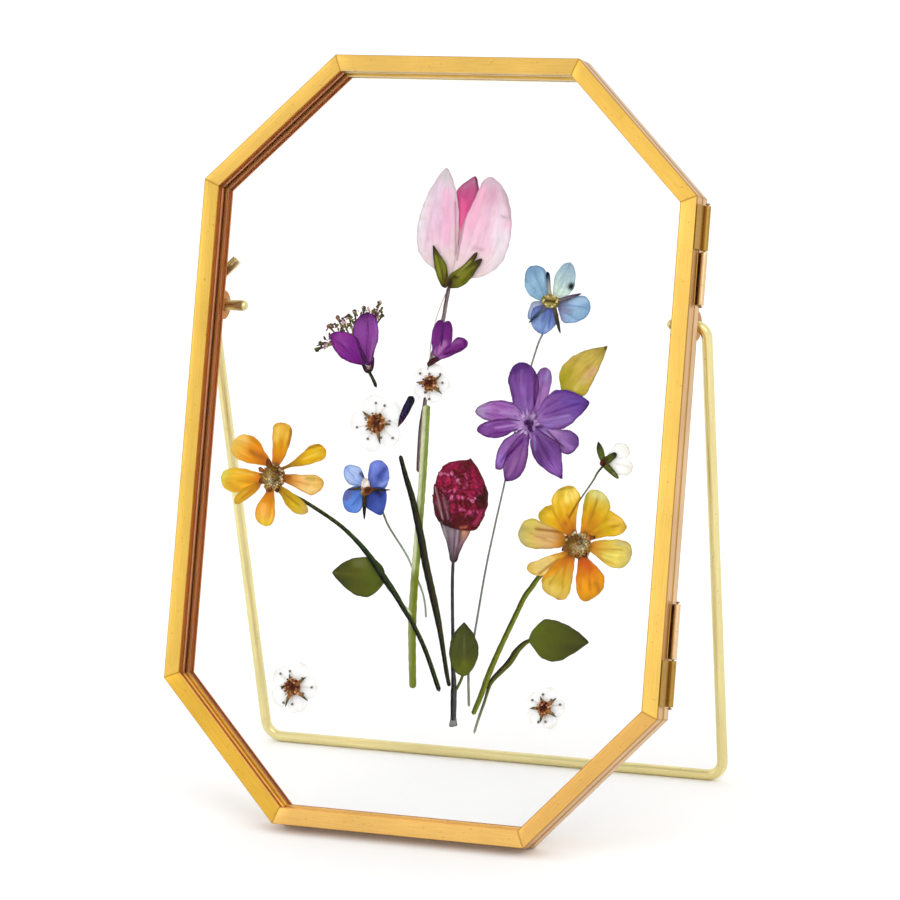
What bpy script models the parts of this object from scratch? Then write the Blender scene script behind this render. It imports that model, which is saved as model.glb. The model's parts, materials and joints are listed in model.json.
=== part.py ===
"""Pressed flower frame: two hinged octagonal metal rings with a pane each, leaning on a wire stand,
and a bunch of dried flowers pressed between the panes.

Units: every dimension below is in millimetres and is scaled by MM, because Blender works in metres.
The frame leans back by LEAN. Its pieces are drawn upright in panel space and carried by the empty
"panel": X to the right, Y towards the back, Z up the panel. There x and h are the place of a point
on the panel, and "front" distances are measured forwards from the rear face of the back ring.
The origin is under the middle of the object, on the surface that it stands on.
"""

import math

import bmesh
import bpy
from mathutils import Euler, Matrix, Vector
from mathutils.geometry import delaunay_2d_cdt

MM = 0.001

# Frame
HEIGHT = 200.0
WIDTH = 137.5
DEPTH = 8.0
LEAN = math.radians(20.0)
FACE = 4.5  # width of the gold face all round
CORNERS = {  # how far each soldered corner is cut back along the width and the height
    "top_left": (35.0, 33.5),
    "top_right": (34.5, 34.0),
    "bottom_right": (33.0, 35.0),
    "bottom_left": (34.5, 35.0),
}
GAP = 0.3  # clearance between touching pieces

# One ring: a folded channel, open towards the middle, that holds its pane
RING_DEPTH = (DEPTH - GAP) / 2
OUTER_WALL = 0.8
FACE_WALL = 0.6
MOUTH = 2.1
FACE_ROUNDING = 0.4
PANE = 1.5

# Flowers lie on four levels between the panes, and every petal, leaf and stem is SHEET thick
SHEET = 0.4
LEVELS = (2.7, 3.4, 4.1, 4.8)

# Stand
WIRE = 1.4  # radius
PIVOT_H = 134.5
PIVOT_BEHIND = 4.6
LEG_TOP_X = 69.4
LEG_FOOT_X = 66.1
PIN_END_X = 59.0
FOOT_BEHIND = 57.14  # middle of the bottom bar behind the edge that the frame stands on
BEND_TOP = 3.0
BEND_FOOT = 4.5
EAR_X = 66.35
EAR_THICK = 1.0
EAR_RADIUS = 3.8

# Hinges, on the right side
BARREL = 0.85  # outer radius
BORE = 0.55
HINGE_PIN = 0.25  # radius
HINGE_PIN_HEAD = 0.6  # radius
HINGE_PIN_HEAD_THICK = 0.4
HINGE_X = WIDTH / 2 + 1.2  # the barrels stand off by a little more than GAP from the ring's side
HINGE_FRONT = 2.8
HINGE_REACH = 0.4  # how far a leaf stays back from the outer face of its ring
LEAF = 0.5  # sheet thickness
UPPER_HINGE = (139.0, 152.5, 164.0)  # foot of the knuckle, the joint between barrels, top of the leaf
LOWER_HINGE = (64.0, 50.0, 38.3)  # the same, upside down

# Turning latch behind the upper left of the frame
LATCH_X = -66.5
LATCH_H = 141.0
LATCH_TURN = math.radians(45.0)
LATCH_LENGTH = 7.3
LATCH_WIDTH = 2.6
LATCH_DEPTH = 1.6
LATCH_OFF = 0.4  # from the rear face of the frame to the tab
RIVET = 0.6  # radius
RIVET_HEAD = 1.2  # radius
RIVET_HEAD_THICK = 0.3

THROUGH = 1.0  # how far a cutter runs past the piece that it cuts

SMOOTH = math.radians(35.0)

COLOURS = {  # sRGB colour, roughness, metallic
    "gold_metal": ("#E8BC62", 0.28, 1.0),
    "wire_metal": ("#D8CC84", 0.30, 1.0),
    "clear_glass": ("#F4F8F6", 0.02, 0.0),
    "pink_petal": ("#F1CFDF", 0.70, 0.0),
    "deep_pink_petal": ("#D65A92", 0.65, 0.0),
    "green_sepal": ("#6E7A2A", 0.75, 0.0),
    "green_stem": ("#7E9638", 0.70, 0.0),
    "dark_stem": ("#2E3420", 0.75, 0.0),
    "thin_stem": ("#8C9484", 0.75, 0.0),
    "green_leaf": ("#4E6418", 0.65, 0.0),
    "olive_leaf": ("#C4AE4C", 0.70, 0.0),
    "purple_petal": ("#7B4F9A", 0.65, 0.0),
    "dark_purple": ("#3A1C46", 0.70, 0.0),
    "violet_petal": ("#74307F", 0.65, 0.0),
    "crimson_petal": ("#8E1740", 0.65, 0.0),
    "mauve_sepal": ("#7A6470", 0.75, 0.0),
    "blue_petal": ("#5A6CB8", 0.65, 0.0),
    "pale_blue_petal": ("#98B6D0", 0.70, 0.0),
    "yellow_petal": ("#EBAF38", 0.65, 0.0),
    "white_petal": ("#F3EFE8", 0.75, 0.0),
    "brown_centre": ("#7C4A24", 0.80, 0.0),
}


# ---------------------------------------------------------------- scene, materials and shapes


def clear_scene():
    for obj in list(bpy.data.objects):
        bpy.data.objects.remove(obj, do_unlink=True)


def new_collection(name):
    collection = bpy.data.collections.new(name)
    bpy.context.scene.collection.children.link(collection)
    return collection


def linear(channel):
    """sRGB channel, 0 to 255, as the linear value that Blender's colours use."""
    value = channel / 255.0
    return value / 12.92 if value <= 0.04045 else ((value + 0.055) / 1.055) ** 2.4


def make_material(node_name, look):
    """The sub-part's own material, from a look in COLOURS."""
    code, roughness, metallic = COLOURS[look]
    material = bpy.data.materials.new(f"{node_name}_{look}")
    material.use_nodes = True
    colour = [linear(int(code[i : i + 2], 16)) for i in (1, 3, 5)]
    shader = material.node_tree.nodes["Principled BSDF"]
    shader.inputs["Base Color"].default_value = (*colour, 1.0)
    shader.inputs["Roughness"].default_value = roughness
    shader.inputs["Metallic"].default_value = metallic
    if look == "clear_glass":
        shader.inputs["Transmission Weight"].default_value = 1.0
        shader.inputs["IOR"].default_value = 1.5
    return material


def empty(name, location, rotation=(0.0, 0.0, 0.0), parent=None):
    holder = bpy.data.objects.new(name, None)
    holder.empty_display_size = 5 * MM
    holder.location = Vector(location) * MM
    holder.rotation_euler = rotation
    holder.parent = parent
    parts.objects.link(holder)
    return holder


def applied(obj):
    """Replace a curve, or an object with modifiers, by a plain mesh object whose transform is applied."""
    bpy.context.view_layer.update()
    mesh = bpy.data.meshes.new_from_object(obj.evaluated_get(bpy.context.evaluated_depsgraph_get()))
    if obj.type == "CURVE":
        body = bmesh.new()
        body.from_mesh(mesh)
        bmesh.ops.remove_doubles(body, verts=body.verts, dist=0.0000001)
        bmesh.ops.recalc_face_normals(body, faces=body.faces)
        body.to_mesh(mesh)
        body.free()
    mesh.transform(obj.matrix_world)
    solid = bpy.data.objects.new(obj.name, mesh)
    bpy.data.objects.remove(obj, do_unlink=True)
    parts.objects.link(solid)
    return solid


def slab(outlines, rear, front):
    """Flat piece of panel space: closed outlines of (x, h) points, filled, from rear to front."""
    curve = bpy.data.curves.new("outline", "CURVE")
    curve.dimensions = "2D"
    curve.fill_mode = "BOTH"
    curve.extrude = (front - rear) / 2 * MM
    for outline in outlines:
        spline = curve.splines.new("POLY")
        spline.points.add(len(outline) - 1)
        for point, (x, h) in zip(spline.points, outline):
            point.co = (x * MM, h * MM, 0.0, 1.0)
        spline.use_cyclic_u = True
    obj = bpy.data.objects.new("slab", curve)
    obj.rotation_euler = (math.pi / 2, 0.0, 0.0)
    obj.location = (0.0, -(rear + front) / 2 * MM, 0.0)
    parts.objects.link(obj)
    return applied(obj)


def wire(points, radius, sides=2, squash=1.0):
    """Round tube through points (x, back, up); squash flattens it and its route front to back."""
    curve = bpy.data.curves.new("wire", "CURVE")
    curve.dimensions = "3D"
    curve.bevel_depth = radius * MM
    curve.bevel_resolution = sides
    curve.use_fill_caps = True
    curve.twist_mode = "MINIMUM"
    spline = curve.splines.new("POLY")
    spline.points.add(len(points) - 1)
    for point, (x, back, up) in zip(spline.points, points):
        point.co = (x * MM, back * MM / squash, up * MM, 1.0)
    obj = bpy.data.objects.new("wire", curve)
    obj.scale = (1.0, squash, 1.0)
    parts.objects.link(obj)
    return applied(obj)


def cylinder(radius, rear, front, x=0.0, h=0.0, sides=16):
    """Cylinder of panel space whose axis runs from rear to front."""
    mesh = bpy.data.meshes.new("cylinder")
    body = bmesh.new()
    bmesh.ops.create_cone(
        body,
        cap_ends=True,
        segments=sides,
        radius1=radius * MM,
        radius2=radius * MM,
        depth=(front - rear) * MM,
        matrix=Matrix.Rotation(math.pi / 2, 4, "X"),
    )
    body.to_mesh(mesh)
    body.free()
    obj = bpy.data.objects.new("cylinder", mesh)
    obj.location = Vector((x, -(rear + front) / 2, h)) * MM
    parts.objects.link(obj)
    return applied(obj)


def rod(radius, bottom, top, x, front, sides=12):
    """Cylinder of panel space whose axis runs up the panel."""
    mesh = bpy.data.meshes.new("rod")
    body = bmesh.new()
    bmesh.ops.create_cone(
        body, cap_ends=True, segments=sides, radius1=radius * MM, radius2=radius * MM, depth=(top - bottom) * MM
    )
    body.to_mesh(mesh)
    body.free()
    obj = bpy.data.objects.new("rod", mesh)
    obj.location = Vector((x, -front, (bottom + top) / 2)) * MM
    parts.objects.link(obj)
    return applied(obj)


def fuse(bodies):
    """Union of overlapping bodies, as one object."""
    whole, *others = bodies
    for other in others:
        joined = whole.modifiers.new("join", "BOOLEAN")
        joined.operation = "UNION"
        joined.solver = "EXACT"
        joined.object = other
        whole = applied(whole)
        bpy.data.objects.remove(other, do_unlink=True)
    return whole


def cut(body, cutter):
    """Take the cutter out of the body; the cutter stays as a guide in its own collection."""
    parts.objects.unlink(cutter)
    cutters.objects.link(cutter)
    cutter.hide_render = True
    cutter.display_type = "WIRE"
    taken = body.modifiers.new("cut", "BOOLEAN")
    taken.operation = "DIFFERENCE"
    taken.solver = "EXACT"
    taken.object = cutter
    return applied(body)


def finish(name, obj, look, carrier):
    """Name a body, give it its material, and hand it to its carrier, whose space it was drawn in."""
    obj.name = name
    obj.data.name = name
    obj.data.materials.clear()
    obj.data.materials.append(make_material(name, look))
    obj.data.shade_smooth()
    obj.data.set_sharp_from_angle(angle=SMOOTH)
    obj.parent = carrier
    if carrier.parent is panel and carrier.rotation_euler == Euler((0.0, 0.0, 0.0)):
        obj.location = -carrier.location
    return obj


# ---------------------------------------------------------------- the octagonal rings and panes


def octagon(inset):
    """Corner points of the frame's outline, moved inwards by inset on every side."""
    half = WIDTH / 2
    (tl_x, tl_h), (tr_x, tr_h) = CORNERS["top_left"], CORNERS["top_right"]
    (br_x, br_h), (bl_x, bl_h) = CORNERS["bottom_right"], CORNERS["bottom_left"]
    corners = [
        Vector((half - br_x, 0.0)),
        Vector((half, br_h)),
        Vector((half, HEIGHT - tr_h)),
        Vector((half - tr_x, HEIGHT)),
        Vector((tl_x - half, HEIGHT)),
        Vector((-half, HEIGHT - tl_h)),
        Vector((-half, bl_h)),
        Vector((bl_x - half, 0.0)),
    ]
    moved = []
    for here, corner in enumerate(corners):
        along_in = (corner - corners[here - 1]).normalized()
        along_out = (corners[(here + 1) % len(corners)] - corner).normalized()
        inward_in = Vector((-along_in.y, along_in.x))
        inward_out = Vector((-along_out.y, along_out.x))
        mitre = (inward_in + inward_out) / (1.0 + inward_in.dot(inward_out))
        moved.append(tuple(corner + mitre * inset))
    return moved


def ring(rear, mouth_rear, rounding):
    """Octagonal channel: a holed slab with a mouth cut from its inner edge to the outer wall."""
    body = slab([octagon(0.0), octagon(FACE)], rear, rear + RING_DEPTH)
    if rounding:
        edge = body.modifiers.new("round the edges", "BEVEL")
        edge.width = rounding * MM
        edge.segments = 2
        edge.limit_method = "ANGLE"
        edge.angle_limit = math.radians(60.0)
        body = applied(body)
    mouth = slab([octagon(OUTER_WALL)], mouth_rear, mouth_rear + MOUTH)
    return cut(body, mouth)


def build_rings():
    front_start = DEPTH - RING_DEPTH
    front_mouth = DEPTH - FACE_WALL - MOUTH
    finish("back_ring", ring(0.0, FACE_WALL, 0.0), "gold_metal", panel)
    finish("front_ring", ring(front_start, front_mouth, FACE_ROUNDING), "gold_metal", front_hinge)
    pane_edge = octagon(OUTER_WALL + GAP)
    back_pane = slab([pane_edge], FACE_WALL + GAP, FACE_WALL + GAP + PANE)
    finish("back_glass", back_pane, "clear_glass", panel)
    front_pane = slab([pane_edge], front_mouth + GAP, front_mouth + GAP + PANE)
    finish("front_glass", front_pane, "clear_glass", front_hinge)


# ---------------------------------------------------------------- hinges


def block(x_range, rear, front, h_range):
    """Box of panel space."""
    (x_min, x_max), (h_min, h_max) = x_range, h_range
    return slab([[(x_min, h_min), (x_max, h_min), (x_max, h_max), (x_min, h_max)]], rear, front)


def hinge_half(name, end, joint, reach, carrier):
    """Leaf with a rolled barrel, between its outer end and the joint with the other barrel.

    The leaf lies on the side of its ring, from the barrel to reach. Both ends keep half a gap to the joint.
    """
    inner_end = joint + math.copysign(GAP / 2, end - joint)
    bottom, top = sorted((end, inner_end))
    leaf_x = (WIDTH / 2 + GAP, WIDTH / 2 + GAP + LEAF)
    rear, front = sorted((HINGE_FRONT, reach))
    barrel = rod(BARREL, bottom, top, HINGE_X, HINGE_FRONT)
    ends_apart = 0.02  # the leaf is a hair shorter, so that no two end faces coincide
    body = fuse([barrel, block(leaf_x, rear, front, (bottom + ends_apart, top - ends_apart))])
    bore = rod(BORE, bottom - THROUGH, top + THROUGH, HINGE_X, HINGE_FRONT)
    finish(name, cut(body, bore), "gold_metal", carrier)


def hinge_pin(name, bottom, top):
    """Turned pin with a small head at each end, one profile spun around the hinge axis."""
    low, high = bottom - GAP, top + GAP
    profile = [
        (0.0, high + HINGE_PIN_HEAD_THICK),
        (HINGE_PIN_HEAD, high + HINGE_PIN_HEAD_THICK),
        (HINGE_PIN_HEAD, high),
        (HINGE_PIN, high),
        (HINGE_PIN, low),
        (HINGE_PIN_HEAD, low),
        (HINGE_PIN_HEAD, low - HINGE_PIN_HEAD_THICK),
        (0.0, low - HINGE_PIN_HEAD_THICK),
    ]
    mesh = bpy.data.meshes.new(name)
    edges = [(i, i + 1) for i in range(len(profile) - 1)]
    mesh.from_pydata([(x * MM, 0.0, z * MM) for x, z in profile], edges, [])
    obj = bpy.data.objects.new(name, mesh)
    obj.location = (HINGE_X * MM, -HINGE_FRONT * MM, 0.0)
    turn = obj.modifiers.new("turn", "SCREW")
    turn.steps = 8
    turn.render_steps = 8
    turn.use_merge_vertices = True
    turn.merge_threshold = 0.00001
    parts.objects.link(obj)
    finish(name, applied(obj), "gold_metal", panel)


def build_hinges():
    for side, (end, joint, far_end) in (("upper", UPPER_HINGE), ("lower", LOWER_HINGE)):
        hinge_half(f"{side}_hinge_knuckle", end, joint, HINGE_REACH, panel)
        hinge_half(f"{side}_hinge_leaf", far_end, joint, DEPTH - HINGE_REACH, front_hinge)
        hinge_pin(f"{side}_hinge_pin", min(end, far_end), max(end, far_end))


# ---------------------------------------------------------------- stand and latch


def arc(centre, radius, start, end, steps):
    """Points of an arc; angles in degrees, anticlockwise from the first axis."""
    angles = [math.radians(start + (end - start) * i / steps) for i in range(steps + 1)]
    return [(centre[0] + radius * math.cos(a), centre[1] + radius * math.sin(a)) for a in angles]


def bent(points, radii, steps=4):
    """Polyline with each inner corner replaced by an arc of its radius."""
    route = [Vector(points[0])]
    for before, corner, after, radius in zip(points, points[1:], points[2:], radii):
        back = (Vector(before) - Vector(corner)).normalized()
        ahead = (Vector(after) - Vector(corner)).normalized()
        half = back.angle(ahead) / 2
        centre = Vector(corner) + (back + ahead).normalized() * radius / math.sin(half)
        first = Vector(corner) + back * radius / math.tan(half) - centre
        last = Vector(corner) + ahead * radius / math.tan(half) - centre
        route += [centre + first.slerp(last, i / steps) * radius for i in range(steps + 1)]
    route.append(Vector(points[-1]))
    return route


def build_stand():
    """One wire: a pin through each ear, two legs and the bar that rests on the table."""
    foot_back = FOOT_BEHIND - pivot_back
    foot_up = WIRE - pivot_up
    corners = [
        (-PIN_END_X, 0.0, 0.0),
        (-LEG_TOP_X, 0.0, 0.0),
        (-LEG_FOOT_X, foot_back, foot_up),
        (LEG_FOOT_X, foot_back, foot_up),
        (LEG_TOP_X, 0.0, 0.0),
        (PIN_END_X, 0.0, 0.0),
    ]
    route = bent(corners, (BEND_TOP, BEND_FOOT, BEND_FOOT, BEND_TOP))
    finish("wire_stand", wire(route, WIRE, sides=3), "wire_metal", stand_pivot)


def build_ears():
    """Drilled lugs behind the back ring: a plate with a round end around the pivot."""
    plate = arc((PIVOT_BEHIND, PIVOT_H), EAR_RADIUS, -90.0, 90.0, 8)
    plate += [(GAP, PIVOT_H + EAR_RADIUS), (GAP, PIVOT_H - EAR_RADIUS)]
    hole = arc((PIVOT_BEHIND, PIVOT_H), WIRE + GAP, 0.0, 360.0, 16)[:-1]
    for name, side in (("left_ear", -1), ("right_ear", 1)):
        lug = slab([plate, hole], -EAR_THICK / 2, EAR_THICK / 2)
        lug.data.transform(Matrix.Rotation(math.pi / 2, 4, "Z"))
        lug.data.transform(Matrix.Translation((side * EAR_X * MM, 0.0, 0.0)))
        finish(name, lug, "gold_metal", panel)


def build_latch():
    """Turning tab, a trough open to the front, on a rivet behind the frame's left side."""
    half = LATCH_WIDTH / 2
    inside = half - LEAF
    near, far = LATCH_OFF, LATCH_OFF + LATCH_DEPTH
    section = [
        (near, -half),
        (far, -half),
        (far, half),
        (near, half),
        (near, inside),
        (far - LEAF, inside),
        (far - LEAF, -inside),
        (near, -inside),
    ]
    trough = slab([section], -half, LATCH_LENGTH)
    trough.data.transform(Matrix.Rotation(math.pi / 2, 4, "Z"))
    hole = cylinder(RIVET + GAP, -far - THROUGH, 0.0)
    finish("latch_tab", cut(trough, hole), "gold_metal", latch_pivot)
    head_front = -far - GAP
    shaft = cylinder(RIVET, head_front - RIVET_HEAD_THICK / 2, -GAP, LATCH_X, LATCH_H, sides=12)
    head = cylinder(RIVET_HEAD, head_front - RIVET_HEAD_THICK, head_front, LATCH_X, LATCH_H, sides=12)
    finish("latch_rivet", fuse([head, shaft]), "gold_metal", panel)


# ---------------------------------------------------------------- pressed flowers: shared forms


def smooth_through(values, place):
    """Value at place, 0 to 1, of a smooth curve through evenly spaced values (Catmull-Rom)."""
    last = len(values) - 1
    span = min(int(place * last), last - 1)
    t = place * last - span
    before, start, end, after = (values[max(0, min(last, span + k))] for k in (-1, 0, 1, 2))
    bend = 2 * start + (end - before) * t
    bend += (2 * before - 5 * start + 4 * end - after) * t**2
    bend += (3 * start - before - 3 * end + after) * t**3
    return bend / 2


def petal(base, tip, left, right, steps=8):
    """Outline of a petal or leaf from base to tip.

    left and right are its half widths, seen from base to tip, at 7, 25, 50, 75 and 93 % of its
    length. These places are evenly spaced around a half circle, so both ends come out rounded.
    """
    base, tip = Vector(base), Vector(tip)
    along = tip - base
    across = Vector((-along.y, along.x)).normalized()

    def side_point(widths, sign, step):
        width = max(smooth_through((0.0, *widths, 0.0), step / steps), 0.05)
        length = (1 - math.cos(math.pi * step / steps)) / 2
        return tuple(base + along * length + across * sign * width)

    inner = range(1, steps)
    up = [side_point(left, 1, step) for step in inner]
    down = [side_point(right, -1, step) for step in reversed(inner)]
    return [tuple(base), *up, tuple(tip), *down]


def disc(x, h, radius, sides=10):
    """Round outline."""
    return arc((x, h), radius, 0.0, 360.0, sides)[:-1]


def strip(points, width):
    """Outline of a band of even width along (x, h) points."""
    points = [Vector(point) for point in points]
    left, right = [], []
    for i, point in enumerate(points):
        along = (points[min(i + 1, len(points) - 1)] - points[max(i - 1, 0)]).normalized()
        across = Vector((-along.y, along.x)) * width / 2
        left.append(tuple(point + across))
        right.append(tuple(point - across))
    return left + right[::-1]


def pressed(name, outlines, level, look):
    """Flat dried piece on a level: its overlapping outlines united into one shape, SHEET thick."""
    points = [Vector(point) for outline in outlines for point in outline]
    loops = []
    for outline in outlines:
        start = loops[-1][-1] + 1 if loops else 0
        loops.append(list(range(start, start + len(outline))))
    inside_triangles = 1
    corners, _, triangles, *_ = delaunay_2d_cdt(points, [], loops, inside_triangles, 0.001)
    body = bmesh.new()
    rear = LEVELS[level]
    vertices = [body.verts.new((x * MM, -rear * MM, h * MM)) for x, h in corners]
    for triangle in triangles:
        body.faces.new([vertices[corner] for corner in triangle])
    bmesh.ops.dissolve_limit(body, angle_limit=math.radians(1.0), verts=body.verts, edges=body.edges)
    sheet = bmesh.ops.extrude_face_region(body, geom=body.faces[:])
    lifted = [item for item in sheet["geom"] if isinstance(item, bmesh.types.BMVert)]
    bmesh.ops.translate(body, verts=lifted, vec=(0.0, -SHEET * MM, 0.0))
    bmesh.ops.recalc_face_normals(body, faces=body.faces)
    mesh = bpy.data.meshes.new(name)
    body.to_mesh(mesh)
    body.free()
    obj = bpy.data.objects.new(name, mesh)
    parts.objects.link(obj)
    finish(name, obj, look, panel)


def stem(name, points, width, level, look, end_level=None):
    """Flattened stem through (x, h) points; it may pass from one level to another along its length."""
    end_level = level if end_level is None else end_level
    route = []
    for i, (x, h) in enumerate(points):
        share = i / (len(points) - 1)
        front = LEVELS[level] * (1 - share) + LEVELS[end_level] * share + SHEET / 2
        route.append((x, -front, h))
    finish(name, wire(route, width / 2, sides=1, squash=SHEET / width), look, panel)


def star(x, h, radius, boss, first_angle, half_width, rays=5):
    """Outlines of a blossom's middle: a boss with narrow sepals around it."""
    outlines = [disc(x, h, boss)]
    widths = [half_width * share for share in (0.9, 1.0, 0.8, 0.45, 0.2)]
    for ray in range(rays):
        angle = math.radians(first_angle + 360.0 * ray / rays)
        tip = (x + radius * math.cos(angle), h + radius * math.sin(angle))
        outlines.append(petal((x, h), tip, widths, widths, 5))
    return outlines


def lumpy(x, h, radius, lumps):
    """Outlines of a dried middle: a boss with a few withered lumps that reach out to their places."""
    lump = (0.8,) * 5
    return [disc(x, h, radius)] + [petal((x, h), place, lump, lump, 6) for place in lumps]


def small_blossom(name, x, h, radius, sepal_radius, boss, first_angle):
    """White five petalled blossom with its brown star of sepals in front."""
    petals = []
    widths = [radius * share for share in (0.12, 0.30, 0.42, 0.40, 0.24)]
    for index in range(5):
        angle = math.radians(first_angle + 36.0 + 72.0 * index)
        tip = (x + radius * math.cos(angle), h + radius * math.sin(angle))
        petals.append(petal((x, h), tip, widths, widths))
    pressed(f"{name}_petals", petals, 1, "white_petal")
    pressed(f"{name}_centre", star(x, h, sepal_radius, boss, first_angle, 0.75), 2, "brown_centre")


# ---------------------------------------------------------------- pressed flowers, each where it lies


def build_pink_bloom():
    outer = [
        petal((1.8, 143.6), (-1.6, 171.7), (4.0, 8.5, 8.6, 5.9, 2.2), (1.0, 2.2, 2.9, 2.6, 1.2), 12),
        petal((2.6, 143.9), (11.3, 169.6), (0.8, 1.5, 2.6, 2.2, 1.9), (6.5, 11.0, 11.3, 8.8, 4.6), 12),
    ]
    pressed("pink_petals", outer, 1, "pink_petal")
    inner = petal((3.0, 150.0), (6.4, 169.8), (0.2, 1.0, 2.1, 4.2, 1.6), (0.5, 0.5, 0.8, 2.1, 1.1))
    pressed("pink_inner_petal", [inner], 0, "deep_pink_petal")
    sepals = [
        petal((1.2, 140.6), (-3.4, 151.5), (1.0, 1.4, 1.4, 0.9, 0.3), (1.0, 1.5, 1.9, 1.0, 0.4)),
        petal((1.6, 141.2), (9.2, 150.0), (1.0, 1.5, 0.7, 0.5, 0.5), (1.0, 2.2, 2.0, 1.2, 0.5)),
        petal((1.8, 140.6), (10.7, 148.4), (1.0, 1.5, 1.2, 1.0, 0.6), (0.8, 2.1, 2.2, 1.3, 0.6)),
    ]
    pressed("pink_calyx", sepals, 2, "green_sepal")
    route = [(1.4, 141.0), (0.9, 136.5), (0.5, 132.5), (-0.9, 126.0), (-2.1, 121.5), (-2.7, 111.5)]
    stem("pink_stem", route + [(-3.4, 104.0), (-3.1, 92.8)], 1.1, 0, "mauve_sepal")


def build_green_stem():
    route = [(-1.9, 110.4), (-1.5, 95.0), (-1.4, 80.0), (-1.4, 65.0), (-1.2, 56.0), (-0.7, 49.0), (0.5, 37.6)]
    stem("green_stem", route, 2.2, 1, "green_stem")


def build_small_purple_bloom():
    petals = [
        petal((0.0, 122.6), (0.8, 132.3), (0.7, 1.3, 1.9, 1.8, 1.1), (0.8, 1.4, 1.6, 1.4, 0.9)),
        petal((0.8, 122.5), (2.9, 132.1), (0.7, 1.0, 1.0, 1.0, 0.9), (0.8, 1.4, 2.5, 2.0, 1.2)),
        petal((1.0, 122.3), (8.8, 126.9), (0.7, 1.2, 1.8, 2.4, 1.5), (0.6, 1.0, 1.2, 1.3, 1.0)),
    ]
    pressed("small_purple_petals", petals, 3, "violet_petal")
    calyx = petal((-2.3, 120.4), (2.0, 123.2), (0.6, 0.9, 0.9, 0.7, 0.4), (0.5, 0.6, 0.6, 0.6, 0.4), 6)
    pressed("small_purple_calyx", [calyx], 2, "dark_purple")


def build_bell_bloom():
    petals = [
        petal((-19.6, 119.9), (-30.2, 127.3), (0.9, 2.1, 2.9, 2.4, 1.2), (1.5, 3.0, 4.3, 3.0, 1.2)),
        petal((-19.0, 119.5), (-20.5, 133.3), (1.2, 2.8, 3.9, 3.9, 2.3), (1.2, 1.9, 3.1, 3.1, 2.4)),
    ]
    pressed("bell_petals", petals, 2, "violet_petal")
    bead_ends = [
        (-35.0, 123.0),
        (-34.2, 124.8),
        (-32.2, 129.8),
        (-30.0, 132.5),
        (-28.2, 131.5),
        (-26.6, 133.2),
        (-25.0, 134.6),
        (-22.0, 135.8),
        (-19.0, 134.6),
        (-17.4, 137.0),
        (-16.3, 133.4),
    ]
    rim_start, rim_end = Vector((-30.5, 124.5)), Vector((-18.0, 129.5))
    stamens = [strip([rim_start, rim_end], 1.6)]
    bead = (0.3, 0.3, 0.3, 0.35, 0.8)
    for index, end in enumerate(bead_ends):
        rim_place = rim_start.lerp(rim_end, (index + 0.5) / len(bead_ends))
        stamens.append(petal(rim_place, end, bead, bead, 6))
    pressed("bell_stamens", stamens, 0, "green_sepal")
    stalk = [
        strip([(-19.6, 119.2), (-18.6, 117.8), (-17.4, 116.0), (-16.4, 114.2)], 1.0),
        petal((-18.6, 117.7), (-20.9, 120.0), (0.3, 0.7, 0.7, 0.5, 0.3), (0.3, 0.6, 0.6, 0.5, 0.3), 6),
        petal((-18.5, 117.7), (-17.8, 122.0), (0.3, 0.7, 0.7, 0.5, 0.3), (0.3, 0.7, 0.7, 0.5, 0.3), 6),
    ]
    pressed("bell_stem", stalk, 1, "dark_stem")


def build_white_blossoms():
    small_blossom("white_small", -1.1, 115.9, 5.2, 4.0, 1.9, 36.0)
    small_blossom("white_left", -15.3, 104.8, 7.6, 5.2, 2.5, 0.0)
    small_blossom("white_low_left", -33.0, 35.4, 6.8, 5.6, 2.2, 38.0)
    small_blossom("white_low_right", 37.2, 35.5, 5.4, 4.1, 1.7, 42.0)


def build_purple_bud():
    bud = petal((-8.8, 104.2), (-5.4, 112.3), (0.3, 0.8, 1.1, 1.1, 1.0), (0.3, 0.8, 1.1, 1.2, 1.0))
    pressed("purple_bud", [bud], 3, "dark_purple")


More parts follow.
